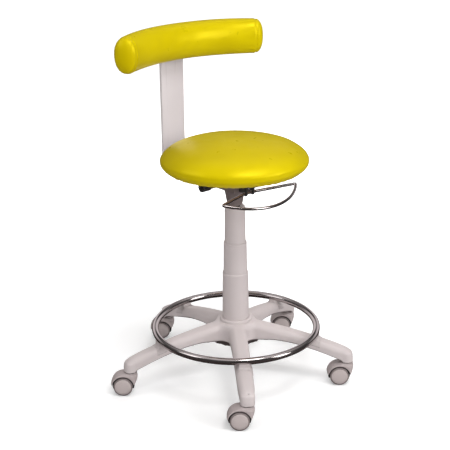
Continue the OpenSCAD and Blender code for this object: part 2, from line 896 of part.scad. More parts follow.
// Side outline of the hood: an arc over the wheel, running up to the stem
module hood_side() {
    intersection() {
        union() {
            translate([trail, wheel_r]) circle(r = hood_r, $fn = 64);
            polygon([[-16.5, hood_skirt_z], [trail, hood_skirt_z], [trail + 4, wheel_r + hood_r - 2],
                [16.5, hood_top], [-16.5, hood_top]]);
        }
        translate([-40, hood_skirt_z]) square([120, 60]);
    }
}

// Moulded hood that carries the axle and turns about the stem
module caster_hood() {
    color(off_white) difference() {
        intersection() {
            rotate([90, 0, 0]) linear_extrude(height = 2 * hood_half_w, center = true) hood_side();
            union() {
                cylinder(r = 17, h = 80, $fn = 64);
                translate([0, -hood_half_w, 0]) cube([70, 2 * hood_half_w, hood_top - 3.5]);
                translate([-16.5, -17, 0]) cube([33, 34, hood_top - 8]);
            }
        }
        for (s = [0, 1]) mirror([0, s, 0])
            translate([trail, -web_half, wheel_r]) rotate([90, 0, 0])
                cylinder(r = hood_gap_r, h = 40, $fn = 64);
        translate([0, 0, stem_bottom - 0.5]) cylinder(r = stem_r + fit, h = 40, $fn = 48);
        translate([trail, 0, wheel_r]) rotate([90, 0, 0])
            cylinder(r = axle_r + 0.02, h = 60, center = true, $fn = 48);
    }
}

// Steel axle of one castor
module caster_axle() {
    color(steel) translate([trail, 0, wheel_r]) rotate([90, 0, 0])
        cylinder(r = axle_r, h = 2 * (wheel_out - 3), center = true, $fn = 48);
}

// Half outline of a wheel, as distance along the axle against radius
module wheel_half() {
    edge = 2.5;
    difference() {
        union() {
            translate([0, wheel_in]) square([wheel_r - edge, wheel_out - wheel_in]);
            translate([0, wheel_in + edge]) square([wheel_r, wheel_out - wheel_in - 2 * edge]);
            for (y = [wheel_in + edge, wheel_out - edge])
                translate([wheel_r - edge, y]) circle(r = edge, $fn = 32);
            polygon(concat([[0, wheel_out - cut]],
                [for (k = [0:8]) [cap_r * cos(k * 11.25), wheel_out + cap_bulge * sin(k * 11.25)]]));
        }
        translate([0, 0]) square([axle_r + fit, wheel_out - 2.5]);
        translate([cap_r + 0.2, wheel_out - 1]) square([1.2, 5]);
    }
}

// One moulded wheel with its domed cap; side is 1 or -1 along the axle
module caster_wheel(side) {
    color(grey_beige) translate([trail, 0, wheel_r]) rotate([-90 * side, 0, 0])
        rotate_extrude($fn = 96) wheel_half();
}

star_base();
hub_sleeve();
foot_ring();
ring_saddles();
saddle_screws();
stem_sockets();
caster_stems();
stem_rings();
stand_tube();
guide_bush();
cover_lower();
lower_race();
piston_rod();
piston();
bearing_balls();
upper_race();
rod_clip();
cover_mid();
pressure_tube();
rod_seal();
cover_upper();
seat_housing();
lever_bracket();
bar_guide();
seat_board();
seat_foam();
seat_cover();
seat_bolts();
seat_nuts();
gas_button();
release_lever();
clamp_pad();
clamp_screw();
clamp_knob();
back_bar();
bolster_core();
bolster_foam();
bolster_cover();
bolster_bolts();
bolster_nuts();
caster_place(0) caster_hood();  // caster_hood_1
caster_place(1) caster_hood();  // caster_hood_2
caster_place(2) caster_hood();  // caster_hood_3
caster_place(3) caster_hood();  // caster_hood_4
caster_place(4) caster_hood();  // caster_hood_5
caster_place(0) caster_axle();  // caster_axle_1
caster_place(1) caster_axle();  // caster_axle_2
caster_place(2) caster_axle();  // caster_axle_3
caster_place(3) caster_axle();  // caster_axle_4
caster_place(4) caster_axle();  // caster_axle_5
caster_place(0) caster_wheel(1);  // wheel_1_left
caster_place(0) caster_wheel(-1);  // wheel_1_right
caster_place(1) caster_wheel(1);  // wheel_2_left
caster_place(1) caster_wheel(-1);  // wheel_2_right
caster_place(2) caster_wheel(1);  // wheel_3_left
caster_place(2) caster_wheel(-1);  // wheel_3_right
caster_place(3) caster_wheel(1);  // wheel_4_left
caster_place(3) caster_wheel(-1);  // wheel_4_right
caster_place(4) caster_wheel(1);  // wheel_5_left
caster_place(4) caster_wheel(-1);  // wheel_5_right
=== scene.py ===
"""Looks of a height-adjustable clinic stool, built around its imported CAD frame. Metres throughout."""
import json
import math

import bmesh
import bpy
import numpy as np
from mathutils import Matrix, Vector


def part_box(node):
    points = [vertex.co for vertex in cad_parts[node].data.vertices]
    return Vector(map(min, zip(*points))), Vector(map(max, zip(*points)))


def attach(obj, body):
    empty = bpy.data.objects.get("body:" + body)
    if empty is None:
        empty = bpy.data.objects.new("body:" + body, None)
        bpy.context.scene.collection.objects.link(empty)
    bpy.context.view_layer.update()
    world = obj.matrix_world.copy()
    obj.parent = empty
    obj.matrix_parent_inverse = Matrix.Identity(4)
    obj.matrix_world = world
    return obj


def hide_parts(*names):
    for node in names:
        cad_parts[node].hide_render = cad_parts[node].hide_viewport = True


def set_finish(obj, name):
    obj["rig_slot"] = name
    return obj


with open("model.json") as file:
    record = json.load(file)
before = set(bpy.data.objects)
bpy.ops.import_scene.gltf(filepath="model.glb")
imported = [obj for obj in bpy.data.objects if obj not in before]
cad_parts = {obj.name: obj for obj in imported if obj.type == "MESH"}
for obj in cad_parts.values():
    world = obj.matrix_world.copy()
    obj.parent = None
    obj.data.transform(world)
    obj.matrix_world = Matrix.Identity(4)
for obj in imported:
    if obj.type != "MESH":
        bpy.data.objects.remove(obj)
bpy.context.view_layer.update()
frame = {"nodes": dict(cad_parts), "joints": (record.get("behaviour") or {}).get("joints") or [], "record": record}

MM = 0.001
ARMS = 5
STEM_R = 300 * MM  # circle of the castor stems
TRAIL = 19.5 * MM  # from a castor's stem to its axle
WHEEL_R = 25 * MM
SIDEWAYS = Matrix(((0, 0, 1, 0), (1, 0, 0, 0), (0, 1, 0, 0), (0, 0, 0, 1)))  # a prism's x, y, z to Y, Z, X

# Camera, as seen from the sitter's front right
VIEW_AZIMUTH = math.radians(-40.6)
VIEW_ELEVATION = math.radians(19.486)
VIEW_ROLL = math.radians(-0.6625)
VIEW_DISTANCE = 2.731
VIEW_TARGET = Vector((-0.0197, 0.0169, 0.4223))
LENS = 84.07

# ---- frame sizes


def node_top(node):
    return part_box(node)[1].z


def arm_angle(i):
    return math.radians(90 + 360 / ARMS * i)


def stem_place(i):
    """The point on the floor under arm i's castor stem."""
    return Vector((STEM_R * math.cos(arm_angle(i)), STEM_R * math.sin(arm_angle(i)), 0))


# ---- mesh helpers


def make(name, verts, faces, material=None, smooth=True):
    mesh = bpy.data.meshes.new(name)
    mesh.from_pydata([tuple(v) for v in verts], [], [tuple(f) for f in faces])
    mesh.validate()
    ob = bpy.data.objects.new(name, mesh)
    bpy.context.scene.collection.objects.link(ob)
    if material:
        mesh.materials.append(material)
    if smooth:
        mesh.polygons.foreach_set("use_smooth", [True] * len(mesh.polygons))
    return ob


def coords(ob):
    co = np.zeros(len(ob.data.vertices) * 3)
    ob.data.vertices.foreach_get("co", co)
    return co.reshape(-1, 3)


def set_coords(ob, co):
    ob.data.vertices.foreach_set("co", np.asarray(co, np.float32).ravel())
    ob.data.update()


def normals(ob):
    no = np.zeros(len(ob.data.vertices) * 3)
    ob.data.vertices.foreach_get("normal", no)
    return no.reshape(-1, 3)


def place(ob, matrix):
    ob.data.transform(matrix)
    ob.data.update()
    return ob


def copy_of(ob, name):
    other = bpy.data.objects.new(name, ob.data.copy())
    bpy.context.scene.collection.objects.link(other)
    return other


def fix_normals(ob):
    bm = bmesh.new()
    bm.from_mesh(ob.data)
    bmesh.ops.recalc_face_normals(bm, faces=bm.faces)
    bm.to_mesh(ob.data)
    bm.free()
    return ob


def apply_modifiers(ob):
    graph = bpy.context.evaluated_depsgraph_get()
    mesh = bpy.data.meshes.new_from_object(ob.evaluated_get(graph))
    ob.modifiers.clear()
    old = ob.data
    ob.data = mesh
    bpy.data.meshes.remove(old)
    return ob


def subdivide(ob):
    m = ob.modifiers.new("subd", "SUBSURF")
    m.levels = m.render_levels = 1
    return apply_modifiers(ob)


def fillet(points, steps=4, closed=True):
    """The outline with its corners rounded where they have a radius. Points are (r, z) or (r, z, radius)."""
    out = []
    n = len(points)
    for i, p in enumerate(points):
        rad = p[2] if len(p) > 2 else 0
        here = Vector(p[:2])
        if rad <= 0 or (not closed and i in (0, n - 1)):
            out.append(tuple(here))
            continue
        a = Vector(points[i - 1][:2]) - here
        b = Vector(points[(i + 1) % n][:2]) - here
        half = a.angle(b) / 2
        if half > math.radians(88):
            out.append(tuple(here))
            continue
        reach = min(rad / math.tan(half), a.length * 0.49, b.length * 0.49)
        start, end = here + a.normalized() * reach, here + b.normalized() * reach
        for k in range(steps + 1):
            t = k / steps
            out.append(tuple(start * (1 - t) ** 2 + here * 2 * t * (1 - t) + end * t ** 2))
    return out


def lathe(name, outline, steps, closed=True):
    """Turns an (r, z) outline about Z. An open outline has to start and end on the axis."""
    verts, faces, rings = [], [], []
    for r, z in outline:
        if r < 1e-7:
            rings.append([len(verts)] * steps)
            verts.append((0, 0, z))
        else:
            rings.append(list(range(len(verts), len(verts) + steps)))
            for k in range(steps):
                a = 2 * math.pi * k / steps
                verts.append((r * math.cos(a), r * math.sin(a), z))
    pairs = list(zip(rings, rings[1:] + rings[:1])) if closed else list(zip(rings, rings[1:]))
    for lower, upper in pairs:
        for k in range(steps):
            j = (k + 1) % steps
            quad = [lower[k], lower[j], upper[j], upper[k]]
            face = [v for n, v in enumerate(quad) if v not in quad[:n]]
            if len(face) > 2:
                faces.append(face)
    return fix_normals(make(name, verts, faces))


def wire_loop(name, path, radius, sides=28):
    """A round wire along a closed path."""
    pts = [Vector(p) for p in path]
    n = len(pts)
    verts, faces = [], []
    side = (pts[1] - pts[-1]).orthogonal().normalized()
    for i, p in enumerate(pts):
        along = (pts[(i + 1) % n] - pts[i - 1]).normalized()
        side = (side - along * side.dot(along)).normalized()
        across = along.cross(side)
        for k in range(sides):
            a = 2 * math.pi * k / sides
            verts.append(p + side * (radius * math.cos(a)) + across * (radius * math.sin(a)))
            j = (k + 1) % sides
            o = ((i + 1) % n) * sides
            faces.append([i * sides + k, i * sides + j, o + j, o + k])
    return fix_normals(make(name, verts, faces))


def prism(name, outline, z0, z1):
    """An outline of (x, y) points pulled from z0 to z1."""
    n = len(outline)
    verts = [(x, y, z0) for x, y in outline] + [(x, y, z1) for x, y in outline]
    faces = [[k, (k + 1) % n, n + (k + 1) % n, n + k] for k in range(n)]
    faces += [list(range(n - 1, -1, -1)), list(range(n, 2 * n))]
    return fix_normals(make(name, verts, faces, smooth=False))


def bevel(ob, width, segments):
    m = ob.modifiers.new("bevel", "BEVEL")
    m.width = width
    m.segments = segments
    m.limit_method = "ANGLE"
    m.angle_limit = math.radians(30)
    m.harden_normals = False
    apply_modifiers(ob)
    ob.data.polygons.foreach_set("use_smooth", [True] * len(ob.data.polygons))
    return smooth_by_angle(ob)


def smooth_by_angle(ob, angle=35):
    """Marks the edges sharper than the angle, so that flat faces stay flat under smooth shading."""
    bm = bmesh.new()
    bm.from_mesh(ob.data)
    limit = math.radians(angle)
    for e in bm.edges:
        e.smooth = len(e.link_faces) != 2 or e.calc_face_angle(0) < limit
    bm.to_mesh(ob.data)
    bm.free()
    return ob


def join(name, obs):
    """One mesh from several, keeping the first one's materials."""
    bm = bmesh.new()
    for o in obs:
        bm.from_mesh(o.data)
    mesh = bpy.data.meshes.new(name)
    for m in obs[0].data.materials:
        mesh.materials.append(m)
    bm.to_mesh(mesh)
    bm.free()
    ob = bpy.data.objects.new(name, mesh)
    bpy.context.scene.collection.objects.link(ob)
    for o in obs:
        old = o.data
        bpy.data.objects.remove(o)
        bpy.data.meshes.remove(old)
    return ob


# ---- implicit shapes


def smin(a, b, k):
    """Union of two distance fields with a fillet of about k."""
    h = np.clip(0.5 + 0.5 * (b - a) / k, 0, 1)
    return b + (a - b) * h - k * h * (1 - h)


def smax(a, b, k):
    return -smin(-a, -b, k)


def grid(lo, hi, step):
    axes = [np.arange(lo[i] - 2 * step, hi[i] + 3 * step, step, dtype=np.float32) for i in range(3)]
    return np.meshgrid(*axes, indexing="ij"), np.array([a[0] for a in axes], float)


def skin(name, field, low, step, relax):
    """A closed quad mesh on the field's zero level: one vertex a cell, at the mean of its edge crossings."""
    inside = field < 0
    nx, ny, nz = field.shape
    corner = [inside[i:nx - 1 + i, j:ny - 1 + j, k:nz - 1 + k]
              for i in (0, 1) for j in (0, 1) for k in (0, 1)]
    total = sum(c.astype(np.int8) for c in corner)
    cells = np.argwhere((total > 0) & (total < 8))
    index = np.full((nx - 1, ny - 1, nz - 1), -1, np.int64)
    index[tuple(cells.T)] = np.arange(len(cells))
    acc = np.zeros((len(cells), 3))
    count = np.zeros(len(cells))
    for axis in range(3):
        others = [a for a in range(3) if a != axis]
        for p in (0, 1):
            for q in (0, 1):
                base = cells.copy()
                base[:, others[0]] += p
                base[:, others[1]] += q
                tip = base.copy()
                tip[:, axis] += 1
                fa = field[tuple(base.T)]
                fb = field[tuple(tip.T)]
                hit = (fa < 0) != (fb < 0)
                t = np.where(hit, fa / np.where(hit, fa - fb, 1), 0)
                point = base.astype(float)
                point[:, axis] += t
                acc += point * hit[:, None]
                count += hit
    verts = acc / count[:, None] * step + low
    faces = []
    for axis in range(3):
        u, v = [a for a in range(3) if a != axis]
        size = list(field.shape)
        size[axis] -= 1
        lo_side = [slice(None)] * 3
        hi_side = [slice(None)] * 3
        lo_side[axis] = slice(0, -1)
        hi_side[axis] = slice(1, None)
        a = inside[tuple(lo_side)]
        b = inside[tuple(hi_side)]
        e = np.argwhere(a != b)
        e = e[(e[:, u] > 0) & (e[:, v] > 0) & (e[:, u] < field.shape[u] - 1) & (e[:, v] < field.shape[v] - 1)]
        flip = a[tuple(e.T)] != (axis == 1)
        quad = []
        for du, dv in ((-1, -1), (0, -1), (0, 0), (-1, 0)):
            c = e.copy()
            c[:, u] += du
            c[:, v] += dv
            quad.append(index[tuple(c.T)])
        quad = np.stack(quad, 1)
        quad[~flip] = quad[~flip][:, ::-1]
        faces.append(quad)
    faces = np.concatenate(faces)
    verts = relax_points(verts, faces, relax)
    return make(name, verts, faces.tolist())


def relax_points(verts, faces, rounds):
    """Evens a mesh out without shrinking it: points move towards their neighbours' mean, there and back."""
    pairs = np.concatenate([faces[:, [i, (i + 1) % 4]] for i in range(4)])
    degree = np.bincount(pairs[:, 0], minlength=len(verts)).astype(float)
    for k in range(rounds * 2):
        total = np.stack([np.bincount(pairs[:, 0], weights=verts[pairs[:, 1], c], minlength=len(verts))
                          for c in range(3)], 1)
        move = total / degree[:, None] - verts
        verts = verts + move * (0.5 if k % 2 == 0 else -0.52)
    return verts


# ---- materials


class Shader:
    """A Principled material under construction, with its coordinates in metres."""

    def __init__(self, name):
        self.mat = bpy.data.materials.new(name)
        self.mat.use_nodes = True
        self.tree = self.mat.node_tree
        self.bsdf = next(n for n in self.tree.nodes if n.type == "BSDF_PRINCIPLED")
        self.coord = self.node("ShaderNodeTexCoord").outputs["Object"]

    def node(self, kind, **values):
        n = self.tree.nodes.new(kind)
        for key, value in values.items():
            if hasattr(n, key):
                setattr(n, key, value)
            else:
                n.inputs[key.replace("_", " ")].default_value = value
        return n

    def link(self, a, b):
        self.tree.links.new(a, b)
        return self

    def set(self, **values):
        """Gives the shader's inputs a value each, or another node's output."""
        for key, value in values.items():
            socket = self.bsdf.inputs[key.replace("_", " ")]
            if isinstance(value, bpy.types.NodeSocket):
                self.link(value, socket)
            else:
                socket.default_value = value
        return self

    def noise(self, scale, detail=2.0, stretch=None):
        n = self.node("ShaderNodeTexNoise", Scale=scale, Detail=detail)
        source = self.coord
        if stretch:
            m = self.node("ShaderNodeMapping", Scale=stretch)
            self.link(self.coord, m.inputs["Vector"])
            source = m.outputs["Vector"]
        self.link(source, n.inputs["Vector"])
        return n.outputs["Fac"]

    def cells(self, scale, feature="DISTANCE_TO_EDGE"):
        n = self.node("ShaderNodeTexVoronoi", feature=feature, Scale=scale)
        self.link(self.coord, n.inputs["Vector"])
        return n.outputs["Distance"]

    def ramp(self, fac, a, b, lo, hi):
        """Maps fac from [a, b] to [lo, hi], clamped."""
        n = self.node("ShaderNodeMapRange", From_Min=a, From_Max=b, To_Min=lo, To_Max=hi)
        self.link(fac, n.inputs["Value"])
        return n.outputs["Result"]

    def mix(self, fac, a, b):
        n = self.node("ShaderNodeMix", data_type="RGBA")
        for socket, value in ((n.inputs[6], a), (n.inputs[7], b)):
            if isinstance(value, (tuple, list)):
                socket.default_value = (*value[:3], 1)
            else:
                self.link(value, socket)
        self.link(fac, n.inputs[0])
        return n.outputs[2]

    def math(self, operation, a, b):
        n = self.node("ShaderNodeMath", operation=operation)
        for socket, value in zip(n.inputs, (a, b)):
            if isinstance(value, (int, float)):
                socket.default_value = value
            else:
                self.link(value, socket)
        return n.outputs[0]

    def bump(self, *layers):
        """Each layer is (height output, strength, distance in metres)."""
        last = None
        for height, strength, distance in layers:
            n = self.node("ShaderNodeBump", Strength=strength, Distance=distance)
            self.link(height, n.inputs["Height"])
            if last:
                self.link(last, n.inputs["Normal"])
            last = n.outputs["Normal"]
        return self.link(last, self.bsdf.inputs["Normal"])

    def edges(self, lo=0.51, hi=0.60):
        """1 on convex edges, 0 elsewhere."""
        g = self.node("ShaderNodeNewGeometry")
        return self.ramp(g.outputs["Pointiness"], lo, hi, 0.0, 1.0)

    def crevices(self):
        """1 in concave corners, 0 elsewhere."""
        return self.edges(0.49, 0.42)


def vinyl(name, base, dark, light):
    """Smooth upholstery vinyl: soft gloss, a very fine leather grain, slow drifts of colour and gloss, and a
    painted highlight on its convex edges.
    """
    s = Shader(name)
    drift = s.noise(6.0, 3.0)
    colour = s.mix(s.ramp(drift, 0.35, 0.65, 0.0, 1.0), dark, base)
    grain = s.cells(1100.0)
    colour = s.mix(s.ramp(grain, 0.0, 0.06, 0.16, 0.0), colour, dark)
    # painted highlight: convex edges and rolls are lightened towards the light colour
    colour = s.mix(s.edges(0.52, 0.62), colour, light)
    bounce = s.node("ShaderNodeLightPath").outputs["Is Diffuse Ray"]
    s.set(Base_Color=s.mix(bounce, colour, (0.45, 0.40, 0.28)), Metallic=0.12,
          Roughness=s.ramp(s.noise(38.0, 4.0), 0.3, 0.7, 0.27, 0.37),
          Specular_Tint=(1.0, 0.90, 0.16, 1), Specular_IOR_Level=0.30)
    s.bump((s.noise(45.0, 2.0), 0.10, 0.0006), (s.ramp(grain, 0.0, 0.12, 0.0, 1.0), 0.10, 0.00012),
           (s.noise(2600.0, 2.0), 0.05, 0.00008))
    return s.mat


def moulded(name, base, shade, rough=(0.36, 0.46), texture=0.10):
    """Moulded plastic: fine spark-eroded skin, pale worn edges, painted shade in its concave corners and on the
    faces that look down.
    """
    s = Shader(name)
    colour = s.mix(s.ramp(s.noise(9.0, 4.0), 0.3, 0.7, 0.0, 1.0), base, tuple(c * 0.96 for c in base))
    colour = s.mix(s.edges(), colour, tuple(min(1.0, c * 1.06) for c in base))
    # painted shade: concave corners are darkened part way to the shade colour
    colour = s.mix(s.math("MULTIPLY", s.crevices(), 0.55), colour, shade)
    speck = s.ramp(s.noise(420.0, 6.0), 0.70, 0.78, 0.0, 0.06)
    colour = s.mix(speck, colour, shade)
    # painted shade: faces that look down are darkened to a near-black brown
    facing = s.node("ShaderNodeSeparateXYZ")
    s.link(s.node("ShaderNodeNewGeometry").outputs["Normal"], facing.inputs[0])
    colour = s.mix(s.ramp(facing.outputs["Z"], -0.22, -0.5, 0.0, 0.92), colour, (0.05, 0.028, 0.026))
    s.set(Base_Color=colour, Roughness=s.ramp(s.noise(60.0, 5.0), 0.3, 0.7, *rough), IOR=1.49)
    s.bump((s.noise(1500.0, 3.0), texture, 0.0001), (s.noise(70.0, 2.0), 0.03, 0.0006))
    return s.mat


def coated(name, base, shade, rough=(0.34, 0.46), peel=0.16):
    """Powder coat: orange-peel ripple, edges rubbed a little brighter, faint scuffs."""
    s = Shader(name)
    colour = s.mix(s.ramp(s.noise(7.0, 3.0), 0.3, 0.7, 0.0, 1.0), base, tuple(c * 0.95 for c in base))
    scuff = s.ramp(s.noise(160.0, 8.0, stretch=(1, 1, 0.08)), 0.66, 0.74, 0.0, 0.22)
    colour = s.mix(scuff, colour, shade)
    colour = s.mix(s.edges(0.52, 0.60), colour, tuple(min(1.0, c * 1.10 + 0.02) for c in base))
    s.set(Base_Color=colour, Roughness=s.ramp(s.noise(90.0, 4.0), 0.3, 0.7, *rough))
    s.set(Coat_Weight=0.12, Coat_Roughness=0.2)
    s.bump((s.noise(520.0, 1.5), peel, 0.00022), (s.noise(2400.0, 2.0), 0.04, 0.00006))
    return s.mat


def metal(name, base, rough, brushed=None, tint=None, scratches=0.05, glow=0.0):
    """Bare or plated metal, smudged and scratched; it may be brushed, or carry a painted reflection of a pale far
    wall as a glow.
    """
    s = Shader(name)
    smudge = s.ramp(s.noise(26.0, 5.0), 0.35, 0.75, 0.0, 1.0)
    colour = s.mix(smudge, base, tint or tuple(c * 0.86 for c in base))
    s.set(Base_Color=colour, Metallic=1.0, Roughness=s.ramp(smudge, 0.0, 1.0, rough, rough * 1.9))
    layers = [(s.noise(700.0, 6.0, stretch=(1, 0.08, 1)), scratches, 0.00005)]
    if brushed:
        layers.append((s.noise(1800.0, 2.0, stretch=brushed), 0.22, 0.00008))
    s.bump(*layers)
    # painted reflection: emission towards low mirrored directions on the far side stands in for a pale far wall,
    # in a painted pinkish grey
    if glow:
        split = s.node("ShaderNodeSeparateXYZ")
        way = s.node("ShaderNodeTexCoord").outputs["Reflection"]
        s.link(way, split.inputs[0])
        far = s.node("ShaderNodeVectorMath", operation="DOT_PRODUCT")
        s.link(way, far.inputs[0])
        far.inputs[1].default_value = (-math.sin(VIEW_AZIMUTH), math.cos(VIEW_AZIMUTH), 0)
        low = s.math("MULTIPLY", s.ramp(split.outputs["Z"], -0.12, 0.02, 0.0, 1.0),
                     s.ramp(split.outputs["Z"], 0.34, 0.46, 1.0, 0.0))
        wall = s.math("MULTIPLY", low, s.ramp(far.outputs["Value"], 0.3, 0.8, 0.0, glow))
        s.set(Emission_Strength=wall, Emission_Color=(0.60, 0.52, 0.53, 1))
    return s.mat


def plastic_black(name, rough, gloss=0.0):
    s = Shader(name)
    base, worn = (0.012, 0.012, 0.013), (0.055, 0.053, 0.052)
    colour = s.mix(s.ramp(s.noise(30.0, 5.0), 0.4, 0.8, 0.0, 0.4), base, worn)
    colour = s.mix(s.math("MULTIPLY", s.edges(0.52, 0.6), 0.8), colour, worn)
    s.set(Base_Color=colour, Roughness=s.ramp(s.noise(120.0, 4.0), 0.3, 0.7, rough, rough + 0.12))
    s.set(Coat_Weight=gloss, Coat_Roughness=0.15)
    s.bump((s.noise(1300.0, 3.0), 0.12, 0.0001))
    return s.mat


def plywood(name):
    """Bare birch plywood: long grain on the faces and plies that show at the edge."""
    s = Shader(name)
    grain = s.noise(60.0, 8.0, stretch=(0.12, 1.0, 1.0))
    plies = s.node("ShaderNodeTexWave", wave_type="BANDS", bands_direction="Z", Scale=130.0, Distortion=0.6)
    s.link(s.coord, plies.inputs["Vector"])
    colour = s.mix(s.ramp(grain, 0.3, 0.7, 0.0, 1.0), (0.62, 0.44, 0.25), (0.50, 0.33, 0.17))
    colour = s.mix(s.ramp(plies.outputs["Fac"], 0.2, 0.8, 0.0, 0.35), colour, (0.38, 0.24, 0.12))
    s.set(Base_Color=colour, Roughness=0.62)
    s.bump((grain, 0.2, 0.0002))
    return s.mat


def foam(name):
    s = Shader(name)
    cell = s.cells(900.0, "F1")
    colour = s.mix(s.ramp(cell, 0.2, 0.7, 0.0, 1.0), (0.78, 0.70, 0.42), (0.62, 0.52, 0.28))
    s.set(Base_Color=colour, Roughness=0.9)
    s.bump((cell, 0.5, 0.0004))
    return s.mat


OFF_WHITE = (0.610, 0.546, 0.542)
OFF_SHADE = (0.42, 0.36, 0.34)
MAT = {
    "base_plastic": moulded("base_plastic", OFF_WHITE, OFF_SHADE),
    "cover_plastic": moulded("cover_plastic", OFF_WHITE, OFF_SHADE, (0.34, 0.42), 0.07),
    "hood_plastic": moulded("hood_plastic", (0.44, 0.378, 0.374), (0.22, 0.18, 0.175), (0.30, 0.40), 0.05),
    "wheel_plastic": moulded("wheel_plastic", (0.52, 0.45, 0.44), (0.25, 0.21, 0.20), (0.34, 0.46), 0.06),
    "bar_paint": coated("bar_paint", (0.665, 0.610, 0.620), (0.36, 0.31, 0.30)),
    "taupe_paint": coated("taupe_paint", (0.19, 0.150, 0.145), (0.05, 0.04, 0.04), (0.3, 0.42)),
    "black_steel": coated("black_steel", (0.014, 0.014, 0.015), (0.05, 0.05, 0.05), (0.25, 0.35)),
    "yellow_vinyl": vinyl("yellow_vinyl", (0.68, 0.54, 0.0012), (0.60, 0.465, 0.0008), (0.80, 0.64, 0.006)),
    "chrome": metal("chrome", (0.50, 0.46, 0.46), 0.09, tint=(0.42, 0.385, 0.38), glow=0.75),
    "hard_chrome": metal("hard_chrome", (0.66, 0.66, 0.67), 0.12, brushed=(1, 1, 14)),
    "steel": metal("steel", (0.50, 0.50, 0.49), 0.28, brushed=(1, 1, 12)),
    "spring_steel": metal("spring_steel", (0.20, 0.20, 0.21), 0.32),
    "brass": metal("brass", (0.62, 0.44, 0.18), 0.24),
    "black_plastic": plastic_black("black_plastic", 0.42),
    "knob_plastic": plastic_black("knob_plastic", 0.24, 0.3),
    "seal_rubber": plastic_black("seal_rubber", 0.6),
    "plywood": plywood("plywood"),
    "foam": foam("foam"),
}
# painted shade: a darker copy of the base plastic for the ring saddles
SHADED_SLEEVE = moulded("ring_sleeve_shaded", tuple(c * 0.88 for c in OFF_WHITE), OFF_SHADE)
# painted shade: a near-black material for the inside of the castor hoods' wheel wells
WELL_SHADE = plastic_black("wheel_well_shade", 0.6)
TREAD = moulded("tread", (0.23, 0.19, 0.185), (0.10, 0.085, 0.08), (0.42, 0.55), 0.12)


def dress_frame():
    """Every CAD node that stays gets its slot's material."""
    slots = {s["node"]: s["material_slot"] for s in frame["record"]["subparts"]}
    for name, ob in frame["nodes"].items():
        ob.data.materials.clear()
        ob.data.materials.append(MAT[slots[name]])
        ob["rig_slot"] = slots[name]


def finish_piece(ob, slot, body, *nodes):
    """The closing calls of every new piece. Vinyl stays out of mirror rays, so that chrome stays neutral."""
    if not ob.data.materials:
        ob.data.materials.append(MAT[slot])
    ob.visible_glossy = slot != "yellow_vinyl"
    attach(ob, body)
    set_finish(ob, slot)
    if nodes:
        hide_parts(*nodes)
    return ob


# ---- base


def base_profile():
    """Heights of the arm's top and underside against the distance from the column, as in the frame."""
    top0 = node_top("star_base") - 5 * MM

    def top(r):
        d = (r - 0.044) / MM
        return top0 - (0.1276 * d + 0.000367 * d * d) * MM

    def under(r):
        d = (r - 0.115) / MM
        return (105.5 - 0.00122 * d * d - 3.5 * np.clip((0.17 - r) / 0.08, 0, 1)) * MM

    return top, under


def arm_section(r, t, z, top, grow):
    """Distance field of the arm's rounded inverted-U outline, swollen by grow."""
    share = np.clip((r - 0.044) / 0.256, -0.3, 1.2)
    pinch = np.clip((r - 0.262) / 0.045, 0, 1)
    half = (23 - 2.2 * share - 2.6 * pinch * pinch * (3 - 2 * pinch)) * MM
    crown = 16 * MM
    side = np.abs(t) - half + crown
    above = (z - top(r)) * 0.98 + crown
    q, w = np.maximum(side, 0), np.maximum(above, 0)
    return np.minimum(np.maximum(side, above), 0) + np.sqrt(q * q + w * w) - crown - grow


def star_base():
    """Hub and five hollow arms as one moulding, with fillets where they meet."""
    step = 1.8 * MM
    hub_r, hub_top, hub_bottom = 44 * MM, node_top("star_base"), 100 * MM
    lo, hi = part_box("star_base")
    tip_z = lo.z
    (x, y, z), low = grid((lo.x, lo.y, tip_z), (hi.x, hi.y, hub_top + 4 * MM), step)
    top, under = base_profile()
    arms = hollows = plan = None
    for i in range(ARMS):
        a = arm_angle(i)
        r = x * math.cos(a) + y * math.sin(a)
        t = -x * math.sin(a) + y * math.cos(a)
        arm, hollow = arm_field(r, t, z, top, under, tip_z)
        arms = arm if arms is None else smin(arms, arm, 28 * MM)
        hollows = hollow if hollows is None else np.minimum(hollows, hollow)
        strip = np.maximum(np.abs(t) - 22.5 * MM, -r)
        plan = strip if plan is None else smin(plan, strip, 28 * MM)
    rad = np.sqrt(x * x + y * y)
    hub = smax(rad - hub_r, np.maximum(z - (hub_top - 7 * MM), hub_bottom - z), 5 * MM)
    body = smin(arms, hub, 22 * MM)
    plan = smin(plan, rad - hub_r, 22 * MM)
    inset = 12 * MM * np.clip((0.25 - rad) / 0.14, 0, 1)
    body = smax(body, (plan + under(rad) - z + inset) * 0.7, 2 * MM)
    body = smax(body, z - (hub_top - 3.5 * MM), 4 * MM)
    collar = np.sqrt((rad - 38.0 * MM) ** 2 + (z - (hub_top - 0.2 * MM)) ** 2) - 4.4 * MM
    body = smin(body, collar, 1.5 * MM)
    body = smax(body, -hollows, 1.5 * MM)
    well = np.maximum(rad - 34.2 * MM, (hub_top - 6 * MM) - z)
    bore = rad - 28.3 * MM
    body = np.maximum(body, -np.minimum(well, bore))
    ob = skin("star_base_shell", body.astype(np.float32), low, step, relax=3)
    return finish_piece(ob, "base_plastic", "base", "star_base")


